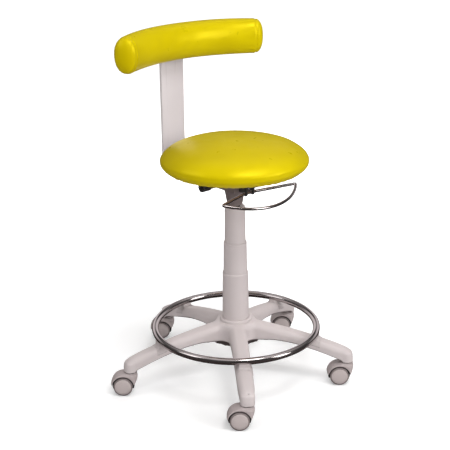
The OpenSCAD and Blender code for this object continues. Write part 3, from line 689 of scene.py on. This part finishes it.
def arm_field(r, t, z, top, under, tip_z):
    """Distance fields of one arm and of the space inside it: r along the arm, t across it."""
    tip_w, end = 18.4 * MM, 17.2 * MM
    beam = smax(arm_section(r, t, z, top, 0.0), (under(r) - z) * 0.98, 3 * MM)
    away = np.sqrt((r - STEM_R) ** 2 + t * t)
    boss = np.maximum(away - (tip_w - 0.6 * MM), z - 86 * MM)
    outer = smin(beam, boss, 8 * MM)
    tip = np.sqrt(np.maximum(r - STEM_R, 0) ** 2 + t * t) - tip_w - 0.25 * np.maximum(STEM_R - 8 * MM - r, 0)
    outer = smax(outer, tip, 2 * MM)
    shoulder = ((z - 106 * MM) + 1.2 * (r - STEM_R)) * 0.64
    outer = smax(outer, shoulder, 12 * MM)
    outer = smax(outer, r - STEM_R - end, 5 * MM)
    outer = np.maximum(smax(outer, tip_z - z, 2 * MM), 12 * MM - r)
    hollow = arm_section(r, t, z, top, -4.2 * MM)
    hollow = smax(hollow, np.maximum(62 * MM - r, r - (STEM_R - 25 * MM)), 6 * MM)
    bore = np.maximum(away - 7.6 * MM, z - 92.6 * MM + 1.5 * np.maximum(away - 5.7 * MM, 0))
    return outer, np.minimum(hollow, bore)


def stem_sockets():
    """Steel sockets in the arm tips, with a rounded closed end."""
    lo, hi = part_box("stem_sockets")
    top = hi.z - 1.8 * MM
    bore, outside = 5.62 * MM, 7.5 * MM
    outline = [(bore, lo.z), (outside, lo.z), (outside, top - 4 * MM, 2 * MM), (6.0 * MM, top, 0.5 * MM),
               (bore, top)]
    rings = []
    for i in range(ARMS):
        ob = lathe("stem_socket", fillet(outline), steps=48)
        rings.append(place(ob, Matrix.Translation(stem_place(i))))
    finish_piece(join("stem_socket_set", rings), "steel", "base", "stem_sockets")


def foot_ring():
    """Chrome ring in its five cradles."""
    lo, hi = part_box("foot_ring")
    tube_r = (hi.z - lo.z) / 2
    path_r = hi.x - tube_r
    z = (hi.z + lo.z) / 2
    outline = [(path_r + tube_r * math.cos(a), z + tube_r * math.sin(a))
               for a in np.linspace(0, 2 * math.pi, 40, endpoint=False)]
    ring = lathe("foot_ring_tube", outline, steps=320)
    finish_piece(ring, "chrome", "base", "foot_ring")


def ring_saddles():
    """Clips that straddle the arms: thin at the ends, cradled round the ring in the middle."""
    step = 1.0 * MM
    lo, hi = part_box("foot_ring")
    tube_r = (hi.z - lo.z) / 2
    ring_r, ring_z = hi.x - tube_r, (hi.z + lo.z) / 2
    top = base_profile()[0]
    reach, near, far = 17 * MM, 13 * MM, 16 * MM
    (r, t, z), low = grid((ring_r - reach, -0.025, 0.099), (ring_r + reach, 0.025, 0.138), step)
    seat = smax(np.abs(r - ring_r) - 8.5 * MM, np.abs(t) - 14 * MM, 3 * MM)
    seat = smax(seat, z - (ring_z - 1.5 * MM), 1.5 * MM)
    body = smin(arm_section(r, t, z, top, 1.2 * MM), seat, 4 * MM)
    body = np.maximum(body, -arm_section(r, t, z, top, 0.12 * MM))
    body = smax(body, np.maximum(ring_r - near - r, r - ring_r - far), 0.8 * MM)
    body = smax(body, (top(r) - 17 * MM) - z, 1.0 * MM)
    ring = np.sqrt((np.sqrt(r * r + t * t) - ring_r) ** 2 + (z - ring_z) ** 2) - tube_r - 0.15 * MM
    body = smax(body, -ring, 0.8 * MM)
    first = skin("ring_saddle_1", body.astype(np.float32), low, step, relax=2)
    saddles = [first] + [copy_of(first, "ring_saddle_%d" % (i + 1)) for i in range(1, ARMS)]
    for i, ob in enumerate(saddles):
        place(ob, Matrix.Rotation(arm_angle(i), 4, "Z"))
        # the saddles take the darker copy: painted shade
        ob.data.materials.append(SHADED_SLEEVE)
        finish_piece(ob, "base_plastic", "base", *([] if i else ["ring_saddles"]))


# ---- column


def cover(name, node, body, r0, r1, bore, lip, z0, z1, flange=None):
    """One telescopic cover: drafted wall, rolled lip at the top and a stiffening bead just under it."""
    bead = z1 - 9 * MM
    outline = [(bore, z0, 0), (r0, z0, 0.4 * MM), (r0, z0 + 2 * MM, 0)]
    if flange:
        outline = [(bore, z0, 0), (flange, z0, 0.4 * MM), (flange, z0 + 4 * MM, 0.4 * MM),
                   (r0, z0 + 4 * MM, 0.3 * MM)]
    outline += [(r1, bead, 0.5 * MM), (r1 + 0.25 * MM, z1 - 2.2 * MM, 0.6 * MM),
                (r1 - 1.4 * MM, z1, 0.9 * MM), (lip, z1, 0.5 * MM), (lip, z1 - 5 * MM, 0.3 * MM),
                (bore, z1 - 5.2 * MM, 0.3 * MM)]
    ob = lathe(name, fillet(outline), steps=160)
    return finish_piece(smooth_by_angle(ob, 40), "cover_plastic", body, node)


def column():
    low_lo, low_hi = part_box("cover_lower")
    mid_lo, mid_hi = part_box("cover_mid")
    up_lo, up_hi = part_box("cover_upper")
    cover("lower_cover", "cover_lower", "base", low_hi.x, 33.6 * MM, 32.6 * MM, 32.0 * MM, low_lo.z, low_hi.z)
    cover("middle_cover", "cover_mid", "mid_cover", 31.85 * MM, 30.2 * MM, 28.9 * MM, 28.0 * MM,
          mid_lo.z, mid_hi.z, flange=mid_hi.x)
    cover("upper_cover", "cover_upper", "seat", 27.8 * MM, 26.6 * MM, 25.4 * MM, 14.1 * MM,
          up_lo.z, up_hi.z, flange=up_hi.x)


# ---- upholstery


def press_cloth(ob, pinned, rest_cap, pressure=4.0, stiffness=18.0, frames=20):
    """Blows a closed skin up as cloth, with the pinned points held and no point moving more than rest_cap."""
    rest = coords(ob)
    group = ob.vertex_groups.new(name="held")
    group.add([int(i) for i in np.nonzero(pinned)[0]], 1.0, "REPLACE")
    m = ob.modifiers.new("cloth", "CLOTH")
    m.settings.quality = 7
    m.settings.mass = 0.25
    m.settings.tension_stiffness = stiffness
    m.settings.compression_stiffness = stiffness
    m.settings.shear_stiffness = 6.0
    m.settings.bending_stiffness = 1.2
    m.settings.use_pressure = True
    m.settings.uniform_pressure_force = pressure
    m.settings.effector_weights.gravity = 0.0
    m.settings.vertex_group_mass = "held"
    m.collision_settings.use_collision = False
    m.point_cache.frame_start = 1
    m.point_cache.frame_end = frames
    scene = bpy.context.scene
    for f in range(1, frames + 1):
        scene.frame_set(f)
    apply_modifiers(ob)
    moved = coords(ob) - rest
    length = np.linalg.norm(moved, axis=1, keepdims=True)
    moved *= np.minimum(1.0, rest_cap / np.maximum(length, 1e-9))
    set_coords(ob, rest + calm(ob, moved, pinned))
    ob.vertex_groups.clear()
    scene.frame_set(1)
    return ob


def calm(ob, moved, pinned, rounds=26):
    """Spreads each point's movement over its neighbours, so that padded vinyl swells without small folds."""
    edges = np.empty(len(ob.data.edges) * 2, dtype=np.int64)
    ob.data.edges.foreach_get("vertices", edges)
    a, b = edges.reshape(-1, 2).T
    count = np.maximum(np.bincount(edges, minlength=len(moved)), 1)[:, None]
    for _ in range(rounds):
        total = np.zeros_like(moved)
        np.add.at(total, a, moved[b])
        np.add.at(total, b, moved[a])
        moved = 0.4 * moved + 0.6 * total / count
        moved[pinned] = 0
    return moved


def seat_outline(inset):
    """The skin's outline from the crown to the hem, then back along the board."""
    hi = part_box("seat_cover")[1]
    board_lo, board_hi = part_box("seat_board")
    rim, top = hi.x - inset, hi.z - inset
    rim_z = board_hi.z + 15.5 * MM
    bottom = board_lo.z - 1.2 * MM
    roll = 24 * MM
    outer = [(0.0, top)]
    for k in range(1, 34):
        r = rim * math.sin(math.radians(90 * k / 34))
        outer.append((r, rim_z + (top - rim_z) * (1 - (r / rim) ** 2.3) ** 0.62))
    for k in range(0, 13):
        a = math.radians(90 * k / 12)
        outer.append((rim - roll + roll * math.cos(a), rim_z - (rim_z - bottom) * math.sin(a)))
    hem, hem_z = 150 * MM, board_lo.z - 1.7 * MM
    for k in range(1, 5):
        outer.append((rim - roll - (rim - roll - hem) * k / 4, bottom - (bottom - hem_z) * min(1, k / 2)))
    edge, gap = board_hi.x + 0.1 * MM, 0.1 * MM
    inner = [(hem, board_lo.z - gap / 2), (edge, board_lo.z - gap / 2), (edge, board_hi.z + gap),
             (100 * MM, board_hi.z + gap), (0.0, board_hi.z + gap)]
    return outer, inner


def seat_cushion():
    """Crowned round cushion: cloth blown up over its board, pulled under it and stapled in small pleats."""
    outer, inner = seat_outline(2.5 * MM)
    ob = lathe("seat_cushion", outer + inner, steps=192, closed=False)
    co = coords(ob)
    under_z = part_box("seat_board")[0].z + 4 * MM
    held = (co[:, 2] < under_z) | (np.abs(co[:, 2] - inner[2][1]) < 1e-6)
    press_cloth(ob, held, 3.5 * MM)
    subdivide(ob)
    fit_seat(ob, under_z)
    pleat_seat(ob, under_z)
    finish_piece(ob, "yellow_vinyl", "seat", "seat_cover", "seat_foam")


def fit_seat(ob, under_z):
    """Brings the blown-up cushion to its full width and crown."""
    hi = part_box("seat_cover")[1]
    co = coords(ob)
    rad = np.hypot(co[:, 0], co[:, 1])
    share = np.clip((co[:, 2] - under_z) / (12 * MM), 0, 1)
    co[:, :2] *= (1 + share * (hi.x / rad.max() - 1))[:, None]
    up = np.clip((co[:, 2] - under_z - 20 * MM) / (co[:, 2].max() - under_z - 20 * MM), 0, 1)
    co[:, 2] += up * (hi.z - co[:, 2].max())
    set_coords(ob, co)


def pleat_seat(ob, under_z):
    """Gathers under the rim, and the slow unevenness of a padded top."""
    co, no = coords(ob), normals(ob)
    rad = np.hypot(co[:, 0], co[:, 1])
    ang = np.arctan2(co[:, 1], co[:, 0])
    tucked = np.clip((under_z + 13 * MM - co[:, 2]) / (13 * MM), 0, 1) * (rad > 149.5 * MM) * (no[:, 2] < 0.3)
    pleat = np.zeros(len(co))
    for waves, size, phase in ((46, 0.55, 0.4), (71, 0.35, 1.9), (23, 0.30, 2.6)):
        pleat += size * np.sin(ang * waves + phase + 1.5 * np.sin(ang * 3 + phase))
    co += no * (pleat * tucked * 0.6 * MM)[:, None]
    slow = 0.5 * np.sin(ang * 2 + 0.6) + 0.3 * np.sin(ang * 5 + 2.0)
    outer = np.clip((rad - 50 * MM) / (100 * MM), 0, 1)
    upper = np.clip((co[:, 2] - under_z - 16 * MM) / (8 * MM), 0, 1)
    co[:, 2] += slow * 0.8 * MM * (outer * upper)
    set_coords(ob, co)


class Bolster:
    """Sizes of the bolster, read from its frame node: bent about a vertical axis at centre."""

    def __init__(self):
        lo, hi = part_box("bolster_cover")
        self.half_h = (hi.z - lo.z) / 2
        self.half_d = 31 * MM
        self.bend = 400 * MM
        self.centre = Vector((0, hi.y - self.half_d - self.bend, (lo.z + hi.z) / 2))
        self.end = math.asin(hi.x / (self.bend + self.half_d))
        self.bulge = 19 * MM
        self.seam = self.end - self.bulge / self.bend

    def point(self, angle, d, h):
        a = math.pi / 2 + angle
        c = self.centre
        return (c.x + (self.bend + d) * math.cos(a), c.y + (self.bend + d) * math.sin(a), c.z + h)

    def local(self, co):
        """Angle along the bolster, depth outwards and height of each point."""
        dx, dy = co[:, 0] - self.centre.x, co[:, 1] - self.centre.y
        return np.arctan2(dy, dx) - math.pi / 2, np.hypot(dx, dy) - self.bend, co[:, 2] - self.centre.z


def bolster():
    """Curved bolster: a tube of vinyl with a cap sewn into each end, blown up between its seams."""
    b = Bolster()
    inset = 2.2 * MM
    sides, along = 72, 104
    layout = []
    for size in (0.18, 0.36, 0.52, 0.66, 0.78, 0.88, 0.95):
        layout.append((-(b.seam + b.bulge / b.bend * (1 - size ** 2.6) ** 0.55), size))
    layout.append((-b.seam, 1.0))
    layout += [(b.seam * (2 * k / along - 1), 1.0) for k in range(1, along)]
    layout += [(-a, size) for a, size in reversed(layout[:8])]
    verts, faces, rings = [], [], []
    for angle, size in layout:
        rings.append(list(range(len(verts), len(verts) + sides)))
        for k in range(sides):
            v = 2 * math.pi * k / sides
            c, s = math.cos(v), math.sin(v)
            out = min(1.0, abs(angle) / b.seam)
            full = size * (1.04 - 0.10 * out ** 2.5)
            d = (b.half_d - inset) * math.copysign(abs(c) ** 0.92, c) * (full if c < 0 else size)
            low = size * (0.985 + 0.025 * out)
            h = (b.half_h - inset) * math.copysign(abs(s) ** 0.92, s) * (full if s > 0 else low)
            verts.append(b.point(angle, d, h))
    for lower, upper in zip(rings, rings[1:]):
        for k in range(sides):
            j = (k + 1) % sides
            faces.append([lower[k], lower[j], upper[j], upper[k]])
    for ring, sign in ((rings[0], -1), (rings[-1], 1)):
        mid = len(verts)
        verts.append(b.point(sign * b.end, 0, 0))
        for k in range(sides):
            faces.append([ring[k], ring[(k + 1) % sides], mid])
    ob = fix_normals(make("bolster_cushion", verts, faces))
    angle, d, h = b.local(coords(ob))
    press_cloth(ob, np.abs(np.abs(angle) - b.seam) < 1e-5, 4.0 * MM)
    subdivide(ob)
    sew_bolster(ob, b)
    finish_piece(ob, "yellow_vinyl", "backrest", "bolster_cover", "bolster_foam")


def sew_bolster(ob, b):
    """Fills the bolster out to its frame size, draws its seams in, puckers it and rests it on the bar."""
    co, no = coords(ob), normals(ob)
    angle, d, h = b.local(co)
    missing = b.half_d - d[np.abs(angle) < b.seam * 0.8].max()
    v = np.arctan2(h / b.half_h, d / b.half_d)
    arc = (np.abs(angle) - b.seam) * b.bend
    seam = np.exp(-(arc / (2.2 * MM)) ** 2)
    pucker = np.exp(-(np.abs(arc) / (10 * MM)) ** 2) * (1 - seam)
    wave = np.sin(v * 26 + 2.0 * np.sin(v * 4)) + 0.6 * np.sin(v * 43 + 1.0)
    inner = np.clip(-d / b.half_d, 0, 1) * np.exp(-(angle / (0.75 * b.seam)) ** 2)
    crease = np.sin(angle * 42 + 3 * np.sin(v * 3)) * inner
    move = missing * (1 - 0.5 * seam) - 0.9 * MM * seam + 0.3 * MM * wave * pucker + 0.2 * MM * crease
    co += no * move[:, None]
    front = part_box("back_bar")[1].y - 8.15 * MM
    share = np.clip((78 * MM - np.abs(co[:, 0])) / (38 * MM), 0, 1)
    share = share * share * (3 - 2 * share)
    co[:, 1] += (smin(co[:, 1], front, 5 * MM) - co[:, 1]) * share
    set_coords(ob, co)


# ---- backrest bar and controls


def back_bar():
    """Flat bar with one bend, broken edges and its two upper corners cut off."""
    lo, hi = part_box("back_bar")
    t = 8 * MM
    width = hi.x - lo.x
    bend_out = 20 * MM
    z0, y1 = lo.z, hi.y
    outline = [(lo.y, z0), (y1 - bend_out, z0)]
    arc = [math.radians(a) for a in range(-80, 0, 10)]
    outline += [(y1 - bend_out + bend_out * math.cos(a), z0 + bend_out + bend_out * math.sin(a)) for a in arc]
    outline += [(y1, z0 + bend_out), (y1, hi.z), (y1 - t, hi.z), (y1 - t, z0 + bend_out)]
    r = bend_out - t
    outline += [(y1 - bend_out + r * math.cos(a), z0 + bend_out + r * math.sin(a)) for a in reversed(arc)]
    outline += [(y1 - bend_out, z0 + t), (lo.y, z0 + t)]
    ob = prism("backrest_bar", outline, -width / 2, width / 2)
    place(ob, SIDEWAYS)
    trim_corners(ob, hi.z, width / 2)
    bevel(ob, 1.1 * MM, 3)
    finish_piece(ob, "bar_paint", "backrest", "back_bar")


def trim_corners(ob, top, half):
    """Cuts the bar's two upper corners at 45 degrees."""
    bm = bmesh.new()
    bm.from_mesh(ob.data)
    size = 9 * MM
    for s in (-1, 1):
        point = Vector((s * half, 0, top - size))
        normal = Vector((s, 0, 1)).normalized()
        geom = bm.verts[:] + bm.edges[:] + bm.faces[:]
        cut = bmesh.ops.bisect_plane(bm, geom=geom, plane_co=point, plane_no=normal, clear_outer=True)
        edges = [e for e in cut["geom_cut"] if isinstance(e, bmesh.types.BMEdge)]
        bmesh.ops.contextual_create(bm, geom=edges)
    bmesh.ops.recalc_face_normals(bm, faces=bm.faces)
    bm.to_mesh(ob.data)
    bm.free()


def release_lever():
    """Chrome wire bow with bent corners, its hinge rod and the tail into the housing."""
    joint = next(j for j in frame["joints"] if j["name"] == "lever_lift")
    hinge = Vector(joint["pos_m"])
    wire = 4 * MM
    bow, half, turned, droop = 0.174, math.radians(47), math.radians(1.4), math.radians(19)
    hinge_x, rod = -0.012, 0.018
    centre = Vector((0.009, 0.034 - hinge.y, 0))
    arc = [centre + Vector((bow * math.sin(a), -bow * math.cos(a), 0))
           for a in np.linspace(turned - half, turned + half, 65)]
    left = Vector((hinge_x - rod, 0, 0))
    right = Vector((hinge_x + rod, 0, 0))
    path = [left] + arc + [right]
    path = soften(path, {0: 5 * MM, 1: 9 * MM, len(arc): 9 * MM, len(path) - 1: 5 * MM})
    turn = Matrix.Translation(Vector((0, hinge.y, hinge.z))) @ Matrix.Rotation(droop, 4, "X")
    loop = wire_loop("lever_wire", path, wire)
    place(loop, turn)
    thick, half_w = 3 * MM, 4 * MM
    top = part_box("release_lever")[1].z
    outline = [(hinge.y - 2 * MM, hinge.z - 1 * MM), (hinge.y + 1 * MM, hinge.z - 1 * MM),
               (hinge.y + 1 * MM, top - thick), (0.0, top - thick), (0.0, top), (hinge.y - 2 * MM, top)]
    tail = prism("lever_tail_strip", outline, hinge_x - half_w, hinge_x + half_w)
    pad = prism("lever_tail_pad", [(-14 * MM, top - thick), (0, top - thick), (0, top), (-14 * MM, top)],
                hinge_x + half_w - 1 * MM, 4 * MM)
    for ob in (tail, pad):
        place(ob, SIDEWAYS)
        bevel(ob, 0.5 * MM, 2)
    finish_piece(join("lever_wire_bow", [loop, tail, pad]), "chrome", "lever", "release_lever")


def soften(path, radii):
    """Rounds the corners of a closed path at the given points."""
    out, n = [], len(path)
    for i, p in enumerate(path):
        if i not in radii:
            out.append(p)
            continue
        a, b = path[i - 1] - p, path[(i + 1) % n] - p
        reach = radii[i]
        pa = p + a.normalized() * min(reach, a.length * 0.9)
        pb = p + b.normalized() * min(reach, b.length * 0.9)
        for k in range(9):
            t = k / 8
            out.append(pa * (1 - t) ** 2 + p * 2 * t * (1 - t) + pb * t * t)
    return out


def clamp_knob():
    """Fluted hand knob with a conical neck and a dished end."""
    lo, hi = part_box("clamp_knob")
    centre = (lo + hi) / 2
    r = (hi.z - lo.z) / 2
    length = hi.x - lo.x
    outline = [(0.0, 0.0), (4.2 * MM, 0.0, 0), (7.6 * MM, 0.0, 1 * MM), (8.2 * MM, 5 * MM, 1 * MM),
               (r - 1.5 * MM, 7 * MM, 1.2 * MM), (r, 8.5 * MM, 1.2 * MM), (r, length + 1 * MM, 1.0 * MM),
               (r - 1.4 * MM, length + 2 * MM, 1.0 * MM), (r * 0.5, length + 1.2 * MM, 1 * MM),
               (0.0, length + 0.8 * MM)]
    ob = lathe("hand_knob", fillet(outline, closed=False), steps=160, closed=False)
    co = coords(ob)
    rad = np.hypot(co[:, 0], co[:, 1])
    ang = np.arctan2(co[:, 1], co[:, 0])
    flute = 0.5 - 0.5 * np.cos(ang * 10)
    depth = 1.5 * MM * (1 - flute) ** 3 * np.clip((co[:, 2] - 10 * MM) / (3 * MM), 0, 1) * (rad > r * 0.7)
    co[:, :2] *= (1 - depth / np.maximum(rad, 1e-6))[:, None]
    set_coords(ob, co)
    turn = Matrix.Translation(Vector((hi.x, centre.y, centre.z))) @ Matrix.Rotation(-math.pi / 2, 4, "Y")
    place(ob, turn)
    finish_piece(smooth_by_angle(ob, 50), "knob_plastic", "clamp_hand_knob", "clamp_knob")


# ---- castors


def caster_hood():
    """Hood in its own place, with painted shade in its wheel well: stem at the origin, trailing along +X, axle
    along Y.
    """
    step = 0.8 * MM
    (x, y, z), low = grid((-0.018, -0.022, 0.014), (0.053, 0.022, 0.0615), step)
    rad = np.sqrt((x - TRAIL) ** 2 + (z - WHEEL_R) ** 2)
    half = 20.5 * MM
    bulge = np.abs(y) / half
    dome = np.sqrt((x - TRAIL) ** 2 + (z - 27 * MM) ** 2) - (32.4 * MM - 2.2 * MM * bulge ** 2.4)
    neck = np.sqrt(x * x + y * y) - 16.8 * MM
    neck = np.maximum(neck, np.maximum(z - 61.5 * MM, 0.034 - z))
    front = np.sqrt((x - 0.5 * MM) ** 2 + (y * 0.82) ** 2) - 17.4 * MM
    front = np.maximum(front, np.maximum(0.020 - z, z - 0.052))
    shell = smin(dome, smin(neck, front, 5 * MM), 11 * MM)
    shell = smax(shell, -0.8 * (x + 0.0168) - 0.6 * (z - 0.0375), 7.0 * MM)
    shell = smax(shell, np.abs(y) - half, 3.0 * MM)
    shell = smax(shell, z - 61.4 * MM, 1.5 * MM)
    skirt = 0.0245 + np.clip(x - 0.030, 0, 1) * 0.25
    shell = smax(shell, skirt - z, 1.5 * MM)
    bay = np.maximum(rad - 28.7 * MM, 6.6 * MM - np.abs(y))
    shell = smax(shell, -bay, 0.6 * MM)
    web = np.maximum(np.abs(y) - 6.4 * MM, rad - 29 * MM)
    web = smax(web, 0.014 - z, 1 * MM)
    shell = smin(shell, web, 1.5 * MM)
    stem = np.maximum(np.sqrt(x * x + y * y) - 5.6 * MM, 0.0425 - z)
    shell = np.maximum(shell, -stem)
    shell = np.maximum(shell, 3.1 * MM - rad)
    ob = skin("caster_hood_shell_1", shell.astype(np.float32), low, step, relax=3)
    ob.data.materials.append(MAT["hood_plastic"])
    # faces around the wheel take the painted well shade
    ob.data.materials.append(WELL_SHADE)
    for p in ob.data.polygons:
        c = p.center
        near_wheel = math.hypot(c.x - TRAIL, c.z - WHEEL_R) < 29.1 * MM
        p.material_index = int(near_wheel and abs(c.y) < half - 0.4 * MM)
    return ob


def wheel_outlines():
    """Tread and cap about Z, from the web outwards: round shoulders, a recessed face and a domed cap."""
    r, width = WHEEL_R, 14.5 * MM
    cap_r, rim = 21.3 * MM, 17.6 * MM
    tread = [(3.1 * MM, 0, 0.3 * MM), (r - 4 * MM, 0, 0.5 * MM), (r, 1.5 * MM, 2.4 * MM), (r, width * 0.5, 0),
             (r, width - 1.6 * MM, 3.2 * MM), (r - 3.4 * MM, width - 0.4 * MM, 0.8 * MM),
             (cap_r - 0.4 * MM, width - 2.4 * MM, 0.5 * MM), (3.1 * MM, width - 2.6 * MM, 0.2 * MM)]
    cap = [(3.1 * MM, width - 2.5 * MM), (cap_r - 0.6 * MM, width - 2.3 * MM), (cap_r, width - 1.6 * MM),
           (cap_r - 0.2 * MM, width - 0.2 * MM), (cap_r - 1.2 * MM, width + 0.7 * MM),
           (rim + 0.6 * MM, width + 1.0 * MM), (rim, width + 0.9 * MM)]
    cap += [(rim * math.sin(a), width + (0.9 + 1.5 * math.cos(a)) * MM)
            for a in np.radians([84, 74, 62, 50, 38, 26, 13])]
    cap += [(0.0, width + 2.4 * MM), (0.0, width - 2.5 * MM)]
    return fillet(tread), cap


def casters():
    hood = caster_hood()
    trail_turn = math.radians(139.4)
    tread, cap = wheel_outlines()
    hoods = [hood] + [copy_of(hood, "caster_hood_shell_%d" % (i + 1)) for i in range(1, ARMS)]
    for i, shell in enumerate(hoods):
        to_caster = Matrix.Translation(stem_place(i)) @ Matrix.Rotation(trail_turn, 4, "Z")
        k = i + 1
        place(shell, to_caster)
        finish_piece(shell, "hood_plastic", "caster_%d" % k, "caster_hood_%d" % k)
        for side, label in ((1, "left"), (-1, "right")):
            face = Matrix.Rotation(-math.pi / 2 * side, 4, "X")
            shift = Matrix.Translation(Vector((TRAIL, side * 7.5 * MM, WHEEL_R)))
            body = "wheel_%d_%s" % (k, label[0])
            wheel = lathe("caster_tread_%d_%s" % (k, label), tread, steps=96)
            disc = lathe("caster_cap_%d_%s" % (k, label), cap, steps=96)
            for ob in (wheel, disc):
                place(ob, to_caster @ shift @ face)
                smooth_by_angle(ob, 40)
            wheel.data.materials.append(TREAD)
            finish_piece(wheel, "black_plastic", body, "wheel_%d_%s" % (k, label))
            finish_piece(disc, "wheel_plastic", body)


# ---- stage


def stage():
    """Pale floor, and a pale studio whose reflections run from a dark ground to a bright ceiling."""
    s = Shader("floor")
    path = s.node("ShaderNodeLightPath")
    pale = s.mix(s.ramp(s.noise(3.0, 3.0), 0.3, 0.7, 0.0, 1.0), (0.93, 0.93, 0.93), (0.91, 0.91, 0.912))
    pale = s.mix(path.outputs["Is Diffuse Ray"], pale, (0.70, 0.69, 0.69))
    s.link(s.mix(path.outputs["Is Glossy Ray"], pale, (0.05, 0.038, 0.036)), s.bsdf.inputs["Base Color"])
    away = s.node("ShaderNodeVectorMath", operation="LENGTH")
    s.link(s.coord, away.inputs[0])
    glow = s.ramp(away.outputs["Value"], 0.3, 2.0, 0.20, 0.80)
    s.link(s.math("MULTIPLY", glow, path.outputs["Is Camera Ray"]), s.bsdf.inputs["Emission Strength"])
    s.set(Roughness=0.6, Specular_IOR_Level=0.2, Emission_Color=(1, 1, 1, 1))
    size = 30.0
    floor = make("studio_floor", [(-size, -size, 0), (size, -size, 0), (size, size, 0), (-size, size, 0)],
                 [[0, 1, 2, 3]], s.mat, smooth=False)
    world = bpy.data.worlds.new("studio")
    bpy.context.scene.world = world
    world.use_nodes = True
    tree = world.node_tree
    tree.nodes.clear()
    link = tree.links.new

    def background(strength, colour):
        n = tree.nodes.new("ShaderNodeBackground")
        if isinstance(strength, float):
            n.inputs["Strength"].default_value = strength
        else:
            link(strength, n.inputs["Strength"])
        n.inputs["Color"].default_value = (*colour, 1)
        return n.outputs[0]

    def ramp(fac, *stops):
        n = tree.nodes.new("ShaderNodeValToRGB")
        n.color_ramp.interpolation = "EASE"
        for k, (at, level) in enumerate(stops):
            e = n.color_ramp.elements[k] if k < 2 else n.color_ramp.elements.new(at)
            e.position = at
            e.color = (level, level * 0.965, level * 0.96, 1)
        link(fac, n.inputs["Fac"])
        return n.outputs["Color"]

    split = tree.nodes.new("ShaderNodeSeparateXYZ")
    link(tree.nodes.new("ShaderNodeTexCoord").outputs["Generated"], split.inputs[0])
    room = ramp(split.outputs["Z"], (0.0, 0.03), (0.25, 0.10), (0.50, 0.10),
                (0.70, 0.30), (0.82, 0.75), (0.95, 0.9))
    path = tree.nodes.new("ShaderNodeLightPath")
    shiny = tree.nodes.new("ShaderNodeMixShader")
    seen = tree.nodes.new("ShaderNodeMixShader")
    link(path.outputs["Is Glossy Ray"], shiny.inputs[0])
    link(background(0.42, (1.0, 0.99, 0.985)), shiny.inputs[1])
    link(background(room, (1.0, 0.965, 0.96)), shiny.inputs[2])
    link(path.outputs["Is Camera Ray"], seen.inputs[0])
    link(shiny.outputs[0], seen.inputs[1])
    link(background(1.1, (1.0, 1.0, 1.0)), seen.inputs[2])
    out = tree.nodes.new("ShaderNodeOutputWorld")
    link(seen.outputs[0], out.inputs[0])


def area_light(name, azimuth, elevation, distance, size, power, mirrored=True):
    """A soft rectangular light; azimuth is counted from the camera, positive to its right."""
    target = Vector((0, 0, 0.5))
    a = VIEW_AZIMUTH + math.radians(azimuth)
    e = math.radians(elevation)
    way = Vector((math.sin(a) * math.cos(e), -math.cos(a) * math.cos(e), math.sin(e)))
    data = bpy.data.lights.new(name, "AREA")
    data.shape = "RECTANGLE"
    data.size, data.size_y = size
    data.energy = power
    ob = bpy.data.objects.new(name, data)
    bpy.context.scene.collection.objects.link(ob)
    ob.visible_glossy = mirrored
    ob.location = target + way * distance
    ob.rotation_euler = way.to_track_quat("Z", "Y").to_euler()
    return ob


def camera():
    a, e = VIEW_AZIMUTH, VIEW_ELEVATION
    back = Vector((math.sin(a) * math.cos(e), -math.cos(a) * math.cos(e), math.sin(e)))
    data = bpy.data.cameras.new("view")
    data.lens = LENS
    data.sensor_width = 36.0
    ob = bpy.data.objects.new("view", data)
    bpy.context.scene.collection.objects.link(ob)
    turn = back.to_track_quat("Z", "Y").to_matrix().to_4x4() @ Matrix.Rotation(VIEW_ROLL, 4, "Z")
    ob.matrix_world = Matrix.Translation(VIEW_TARGET + back * VIEW_DISTANCE) @ turn
    bpy.context.scene.camera = ob
    bpy.context.scene.view_settings.view_transform = "Standard"


dress_frame()
star_base()
stem_sockets()
foot_ring()
ring_saddles()
column()
seat_cushion()
bolster()
back_bar()
release_lever()
clamp_knob()
casters()

stage()
area_light("key", 30, 58, 2.2, (0.9, 0.6), 17)
area_light("front", 10, 22, 3.0, (1.8, 1.4), 20, mirrored=False)
area_light("side", 62, 20, 3.0, (1.0, 1.6), 32)
area_light("left", -70, 34, 3.0, (1.4, 1.4), 13)
area_light("back", 175, 22, 3.0, (1.8, 0.9), 42, mirrored=False)
camera()
